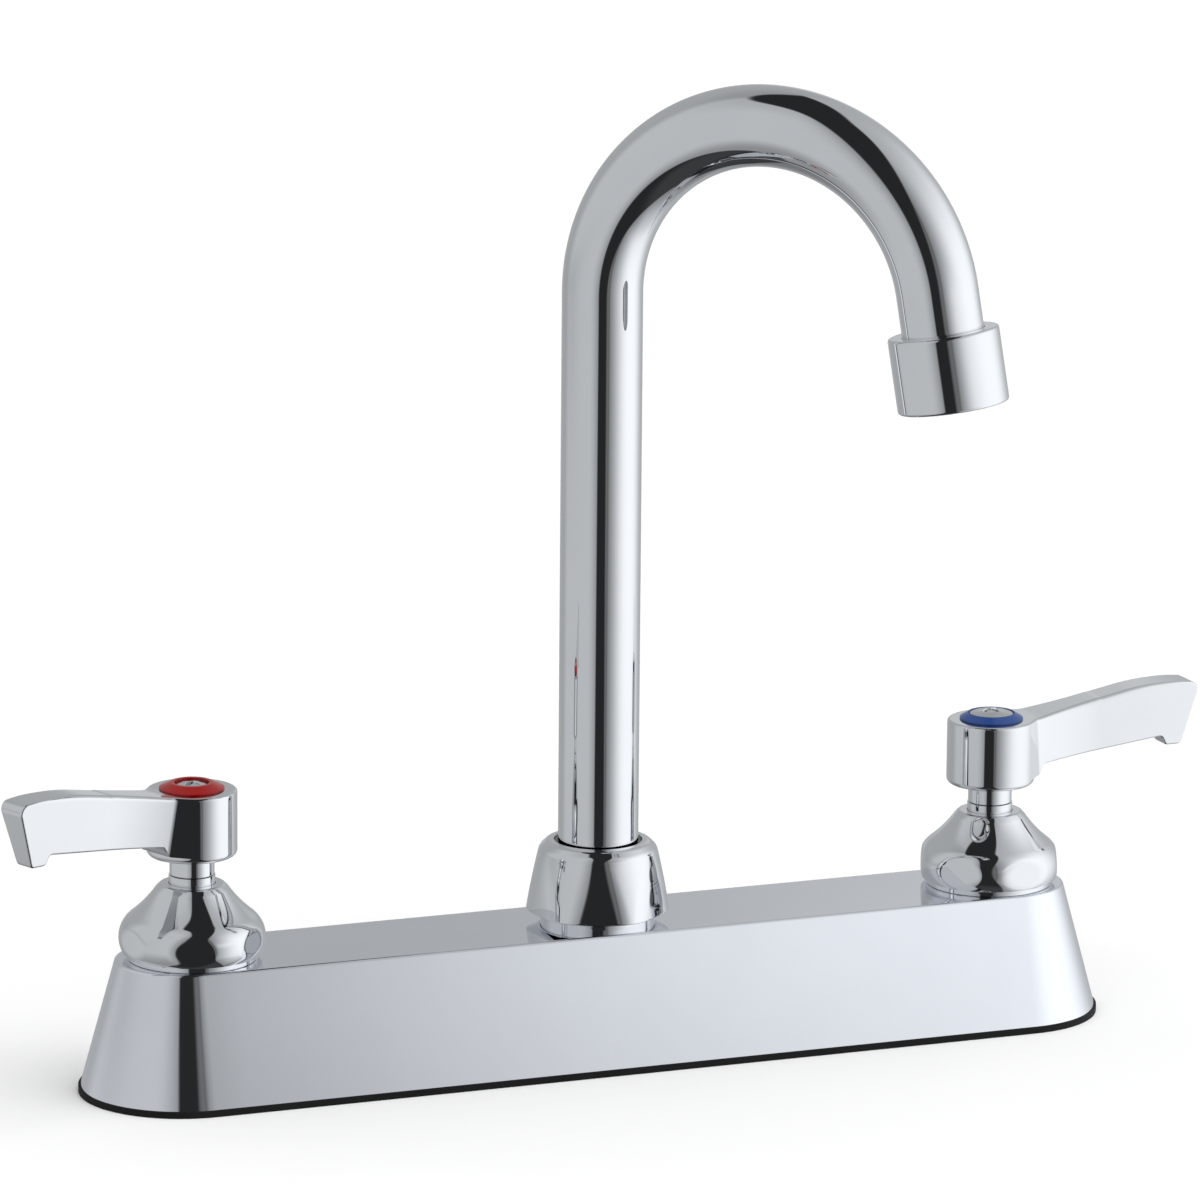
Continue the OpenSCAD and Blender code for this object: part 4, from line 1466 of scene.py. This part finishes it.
    def fitting(self) -> Grid:
        """The outlet's sleeve: a turned ring with eased edges, a socket for the tube and a wide mouth.

        Returns:
            The patch in the spout's axes, before the spout is turned.
        """
        socket_r = self.tube_r + self.socket_gap
        profile = eased([
            (socket_r, 0.0, self.socket_edge),
            (self.fitting_r, 0.0, self.fitting_edge),
            (self.fitting_r, self.fitting_h, self.fitting_edge),
            (self.thread_r, self.fitting_h, self.thread_edge),
            (self.thread_r, self.socket, 0.0),
            (socket_r, self.socket, 0.0),
        ])
        return self.at_outlet(turned(profile, self.columns))

    def build(self) -> None:
        """Makes the nut, the tube and the fitting."""
        make_piece("spout_dome_nut", [self.nut()], Body.DECK, Slot.CHROME, ["spout_nut"])
        turning = (
            ("gooseneck_tube", "spout_tube", self.tube()),
            ("outlet_sleeve", "outlet_fitting", self.fitting()),
        )
        for piece, node, patch in turning:
            placed = patch.placed(self.turn, (0.0, 0.0, 0.0))
            make_piece(piece, [placed], Body.SPOUT, Slot.CHROME, [node])


def dress_nodes() -> None:
    """Gives every CAD node that still shows the finish of its slot in the record."""
    for part in frame["record"]["subparts"]:
        node = frame["nodes"][part["node"]]
        if node.hide_render:
            continue
        finish = NODE_FINISHES.get(part["node"]) or FINISHES[Slot(part["material_slot"])]
        node.material_slots[0].material = finish.material()
        LOG.info("%s: dressed in %s", part["node"], finish.name)


# Studio


def wrapped(angle: Array) -> Array:
    """The same angle in degrees, from -180 up to 180."""
    return (angle + 180.0) % 360.0 - 180.0


def parts_of_reach(offset: Array, below: float, above: float) -> Array:
    """Size of an offset over the reach on its own side, which is one below 0 and another above."""
    return np.abs(offset) / np.where(offset < 0.0, below, above)


@dataclass(frozen=True)
class Term:
    """A change of a panel's level, from directions that get none of it to those that get its whole gain."""

    gain: float

    def share(self, side: Array, rise: Array) -> Array:
        """How much of the gain a direction gets.

        Args:
            side: Degrees to the right of the camera.
            rise: Degrees above level.

        Returns:
            Shares, 0 for none.
        """
        raise NotImplementedError


@dataclass(frozen=True)
class SideFade(Term):
    """A change that sets in along an S-curve to one side."""

    start: float
    run: float

    def share(self, side: Array, rise: Array) -> Array:
        """The S-curve of the way from the start, over the run."""
        return smooth_share((side - self.start) / self.run)


@dataclass(frozen=True)
class RiseFade(Term):
    """A change that sets in along an S-curve upwards, or downwards where its run is below 0."""

    start: float
    run: float

    def share(self, side: Array, rise: Array) -> Array:
        """The S-curve of the way from the start, over the run."""
        return smooth_share((rise - self.start) / self.run)


@dataclass(frozen=True)
class SideRamp(Term):
    """A change that grows to the right and stops at an end."""

    start: float
    run: float
    end: float

    def share(self, side: Array, rise: Array) -> Array:
        """The square of the way from the start, over the run."""
        return np.clip((side - self.start) / self.run, 0.0, 1.0) ** 2 * (side < self.end)


@dataclass(frozen=True)
class SideDecay(Term):
    """A change that dies away to the right of the camera."""

    start: float
    hold: float
    length: float

    def share(self, side: Array, rise: Array) -> Array:
        """e to the minus way from the start over the length, held level further left than the hold."""
        return np.exp(-np.clip(side - self.start, -self.hold, None) / self.length) * (side > 0.0)


@dataclass(frozen=True)
class Spot(Term):
    """A change within a soft oval, given by its middle, its half width and its half height."""

    side: float
    rise: float
    wide: float
    tall: float

    def share(self, side: Array, rise: Array) -> Array:
        """e to the minus square of the distance from the middle."""
        across = wrapped(side - self.side) / self.wide
        return np.exp(-(across**2) - ((rise - self.rise) / self.tall) ** 2)


@dataclass(frozen=True)
class Glow(Term):
    """A wide glow with a reach of its own on each of its four sides."""

    side: float
    rise: float
    left: float
    right: float
    up: float
    down: float

    def share(self, side: Array, rise: Array) -> Array:
        """e to the minus cube of the distance across, times the same of the distance up or down."""
        across = parts_of_reach(side - self.side, self.left, self.right)
        return np.exp(-(across**3)) * np.exp(-(parts_of_reach(rise - self.rise, self.down, self.up) ** 3))


@dataclass(frozen=True)
class Panel:
    """A big soft panel of the studio, seen from the tap: an oval with a power of its own for each half."""

    side: float
    rise: float
    reach_left: float
    reach_right: float
    reach_up: float
    reach_down: float
    power_up: float
    power_down: float
    base: float
    terms: tuple[Term, ...]
    soft: float = 0.04375

    def level(self, side: Array, rise: Array) -> Array:
        """The panel's base level with the share of every term added."""
        return self.base + sum(term.gain * term.share(side, rise) for term in self.terms)

    def cover(self, side: Array, rise: Array) -> Array:
        """How much of the panel is seen in a direction.

        The sum of both offsets, each over its reach and raised to the power, is 1 on the panel's edge.

        Args:
            side: Degrees to the right of the camera.
            rise: Degrees above level.

        Returns:
            1 inside, 0 outside, with a soft edge between.
        """
        across = parts_of_reach(wrapped(side - self.side), self.reach_left, self.reach_right)
        above = parts_of_reach(rise - self.rise, self.reach_down, self.reach_up)
        power = np.where(rise < self.rise, self.power_down, self.power_up)
        edge = (across**power + above**power) ** (1.0 / power)
        return smooth_share((1.0 - edge) / self.soft + 0.5)


GREY_PANEL = Panel(
    side=-95.0,
    rise=5.0,
    reach_left=105.0,
    reach_right=85.0,
    reach_up=66.5,
    reach_down=62.0,
    power_up=6.0,
    power_down=3.0,
    base=184.0,
    terms=(
        SideFade(gain=-24.0, start=-104.0, run=-26.0),
        SideFade(gain=-24.0, start=40.0, run=60.0),
        SideRamp(gain=-40.0, start=-36.0, run=24.0, end=40.0),
        RiseFade(gain=-14.0, start=46.0, run=26.0),
        RiseFade(gain=-44.0, start=-15.0, run=-34.0),
        Spot(gain=-14.0, side=-98.0, rise=-1.0, wide=26.0, tall=6.0),
        Spot(gain=24.0, side=-168.0, rise=-3.0, wide=10.0, tall=6.0),
        Spot(gain=30.0, side=168.0, rise=15.0, wide=10.0, tall=12.0),
    ),
)
WHITE_PANEL = Panel(
    side=95.0,
    rise=5.0,
    reach_left=84.0,
    reach_right=120.0,
    reach_up=70.0,
    reach_down=76.0,
    power_up=2.0,
    power_down=2.0,
    base=166.0,
    terms=(
        Glow(gain=87.0, side=88.0, rise=5.0, left=46.0, right=43.0, up=45.0, down=70.0),
        SideDecay(gain=-75.0, start=14.0, hold=10.0, length=16.0),
        Spot(gain=-22.0, side=19.5, rise=0.0, wide=2.2, tall=math.inf),
        RiseFade(gain=-36.0, start=-44.0, run=-26.0),
        RiseFade(gain=-28.0, start=-33.0, run=-14.0),
        Spot(gain=25.0, side=42.0, rise=8.0, wide=17.0, tall=8.0),
        Spot(gain=30.0, side=168.0, rise=15.0, wide=10.0, tall=12.0),
    ),
)


@dataclass
class Studio:
    """Floor, light and camera. Places of the camera are millimetres, the stage's own sizes metres."""

    camera_at: Place = (-714.3, -1808.7, 557.4)
    aim: Place = (0.0, 0.0, 109.6)
    roll: float = 0.461
    lens: float = 254.06
    floor_half: float = 6.0
    floor_tone: float = 0.95
    sky: float = 0.62
    sun: float = 1.62
    sun_spread: float = 55.0
    sun_way: Place = (-0.35, 0.35, -1.0)
    dome_r: float = 0.65
    dome_z: float = 0.1
    dome_columns: int = 480
    dome_rows: int = 200
    dome_gain: float = 1.25
    dome_tint: Colour = (0.975, 1.0, 1.02)
    camera_heading: float = -111.55
    dark: float = 37.0
    dark_foot: Term = RiseFade(gain=20.0, start=-40.0, run=-20.0)

    @staticmethod
    def linear(level: Array) -> Array:
        """Light of a display level from 0 to 255, by the usual 2.4 power curve."""
        share = np.clip(level, 0.0, 255.0) / 255.0
        return np.where(share <= 0.04045, share / 12.92, ((share + 0.055) / 1.055) ** 2.4)

    @staticmethod
    def stage_object(
        name: str, points: Array, faces: Array, material: bpy.types.Material
    ) -> bpy.types.Object:
        """Makes one object of the stage.

        Args:
            name: Its name.
            points: Rows of coordinates in metres.
            faces: Rows of point numbers.
            material: Its material.

        Returns:
            The object, marked as stage.
        """
        mesh = bpy.data.meshes.new(name)
        mesh.from_pydata(points.tolist(), [], faces.tolist())
        mesh.materials.append(material)
        made = bpy.data.objects.new(name, mesh)
        bpy.context.scene.collection.objects.link(made)
        return made

    def floor(self) -> None:
        """Lays the pale floor, which mirrors in nothing but takes the shadow."""
        material, wiring = blank_material("pale_floor")
        tone = (self.floor_tone, self.floor_tone, self.floor_tone, 1.0)
        shader = wiring.add("ShaderNodeBsdfDiffuse", {"Color": tone})
        wiring.add("ShaderNodeOutputMaterial", {"Surface": shader.outputs["BSDF"]})
        corners = np.array(((-1.0, -1.0, 0.0), (1.0, -1.0, 0.0), (1.0, 1.0, 0.0), (-1.0, 1.0, 0.0)))
        floor = self.stage_object("floor", self.floor_half * corners, np.array(((0, 1, 2, 3),)), material)
        floor.visible_glossy = False

    def levels(self, side: Array, rise: Array) -> Array:
        """Display level of the studio in a direction, as bright metal would show it.

        Dark all over, a little less so near the foot. The white panel is laid over that by its cover, and
        the grey panel over both.

        Args:
            side: Degrees to the right of the camera.
            rise: Degrees above level.

        Returns:
            Levels from 0 to 255.
        """
        level = self.dark + self.dark_foot.gain * self.dark_foot.share(side, rise)
        for panel in (WHITE_PANEL, GREY_PANEL):
            level = level + (panel.level(side, rise) - level) * panel.cover(side, rise)
        return level

    def dome(self) -> None:
        """Stands a round studio of panels about the tap, which only mirrors see.

        The dome is a sphere: a place is its radius times (cosine of rise times cosine and sine of the
        heading, sine of rise).
        """
        material, wiring = blank_material("studio_panels")
        tones = wiring.add("ShaderNodeAttribute", attribute_name="panel_light")
        light = wiring.add("ShaderNodeEmission", {
            "Color": tones.outputs["Color"],
            "Strength": self.dome_gain,
        })
        wiring.add("ShaderNodeOutputMaterial", {"Surface": light.outputs["Emission"]})
        side, rise = np.meshgrid(
            np.linspace(-180.0, 180.0, self.dome_columns, endpoint=False),
            np.linspace(-90.0, 90.0, self.dome_rows),
        )
        heading = np.radians(side + self.camera_heading)
        lift = np.radians(rise)
        points = self.dome_r * np.stack([
            np.cos(lift) * np.cos(heading),
            np.cos(lift) * np.sin(heading),
            np.sin(lift),
        ], axis=-1)
        points[..., 2] += self.dome_z
        value = self.linear(self.levels(side, rise))
        colour = value[..., None] * np.array((*self.dome_tint, 1.0))
        faces = Grid(points, ring=True).quads()
        dome = self.stage_object("studio_dome", points.reshape(-1, 3), faces, material)
        light_layer = dome.data.attributes.new("panel_light", "FLOAT_COLOR", "POINT")
        light_layer.data.foreach_set("color", colour.astype(np.float32).ravel())
        for ray in ("camera", "diffuse", "shadow", "transmission", "volume_scatter"):
            setattr(dome, f"visible_{ray}", False)

    def lights(self) -> None:
        """Sets a white surround for the eye and for mirrors, an even sky and one wide soft lamp."""
        world = bpy.data.worlds.new("studio")
        bpy.context.scene.world = world
        world.use_nodes = True
        wiring = Wiring(world.node_tree)
        path = wiring.add("ShaderNodeLightPath")
        seen = path.outputs["Is Camera Ray"]
        for ray in ("Is Glossy Ray", "Is Transmission Ray"):
            either = wiring.add("ShaderNodeMath", {0: seen, 1: path.outputs[ray]}, operation="MAXIMUM")
            seen = either.outputs[0]
        plain = (1.0, 1.0, 1.0, 1.0)
        white = wiring.add("ShaderNodeBackground", {"Color": plain, "Strength": 1.0})
        sky = wiring.add("ShaderNodeBackground", {"Color": plain, "Strength": self.sky})
        mix = wiring.add("ShaderNodeMixShader", {"Fac": seen, 1: sky.outputs[0], 2: white.outputs[0]})
        wiring.add("ShaderNodeOutputWorld", {"Surface": mix.outputs[0]})
        lamp = bpy.data.lights.new("soft_lamp", "SUN")
        lamp.energy = self.sun
        lamp.angle = math.radians(self.sun_spread)
        made = bpy.data.objects.new("soft_lamp", lamp)
        made.rotation_euler = Vector(self.sun_way).to_track_quat("-Z", "Y").to_euler()
        made.visible_glossy = False
        bpy.context.scene.collection.objects.link(made)

    def camera(self) -> None:
        """Stands the camera where the photograph was taken from, with its slight roll."""
        at = Vector(self.camera_at) * MM
        back = (at - Vector(self.aim) * MM).normalized()
        right = Vector((0.0, 0.0, 1.0)).cross(back).normalized()
        up = back.cross(right)
        c, s = math.cos(math.radians(self.roll)), math.sin(math.radians(self.roll))
        axes = Matrix((right * c + up * s, up * c - right * s, back)).transposed()
        data = bpy.data.cameras.new("camera")
        data.lens = self.lens
        made = bpy.data.objects.new("camera", data)
        made.matrix_world = Matrix.Translation(at) @ axes.to_4x4()
        bpy.context.scene.collection.objects.link(made)
        bpy.context.scene.camera = made

    def build(self) -> None:
        """Sets the stage."""
        bpy.context.scene.view_settings.view_transform = "Standard"
        self.floor()
        self.dome()
        self.lights()
        self.camera()


def main() -> None:
    """Builds the tap's pieces in order, dresses the rest and sets the stage."""
    logging.basicConfig(level=logging.INFO, format="%(message)s")
    DeckCasting().build()
    Valve(
        name="hot",
        axis_x=-VALVE_X,
        bonnet_turn=11.1,
        lever_turn=201.4,
        body=Body.HOT,
        ring_slot=Slot.RED,
        bonnet=Bonnet(flat_reach=16.45),
        ring=IndexRing(top_r=5.0, hole_r=4.05),
        screw=HandleScrew(head_r=3.95, head_h=2.3, dome_h=0.6),
    ).build()
    Valve(
        name="cold",
        axis_x=VALVE_X,
        bonnet_turn=38.5,
        lever_turn=2.0,
        body=Body.COLD,
        ring_slot=Slot.BLUE,
        bonnet=Bonnet(),
        ring=IndexRing(top_r=5.6, hole_r=5.35),
        screw=HandleScrew(head_r=5.28, head_h=3.2, dome_h=1.0),
    ).build()
    Gooseneck().build()
    dress_nodes()
    Studio().build()


if __name__ == "__main__":
    main()
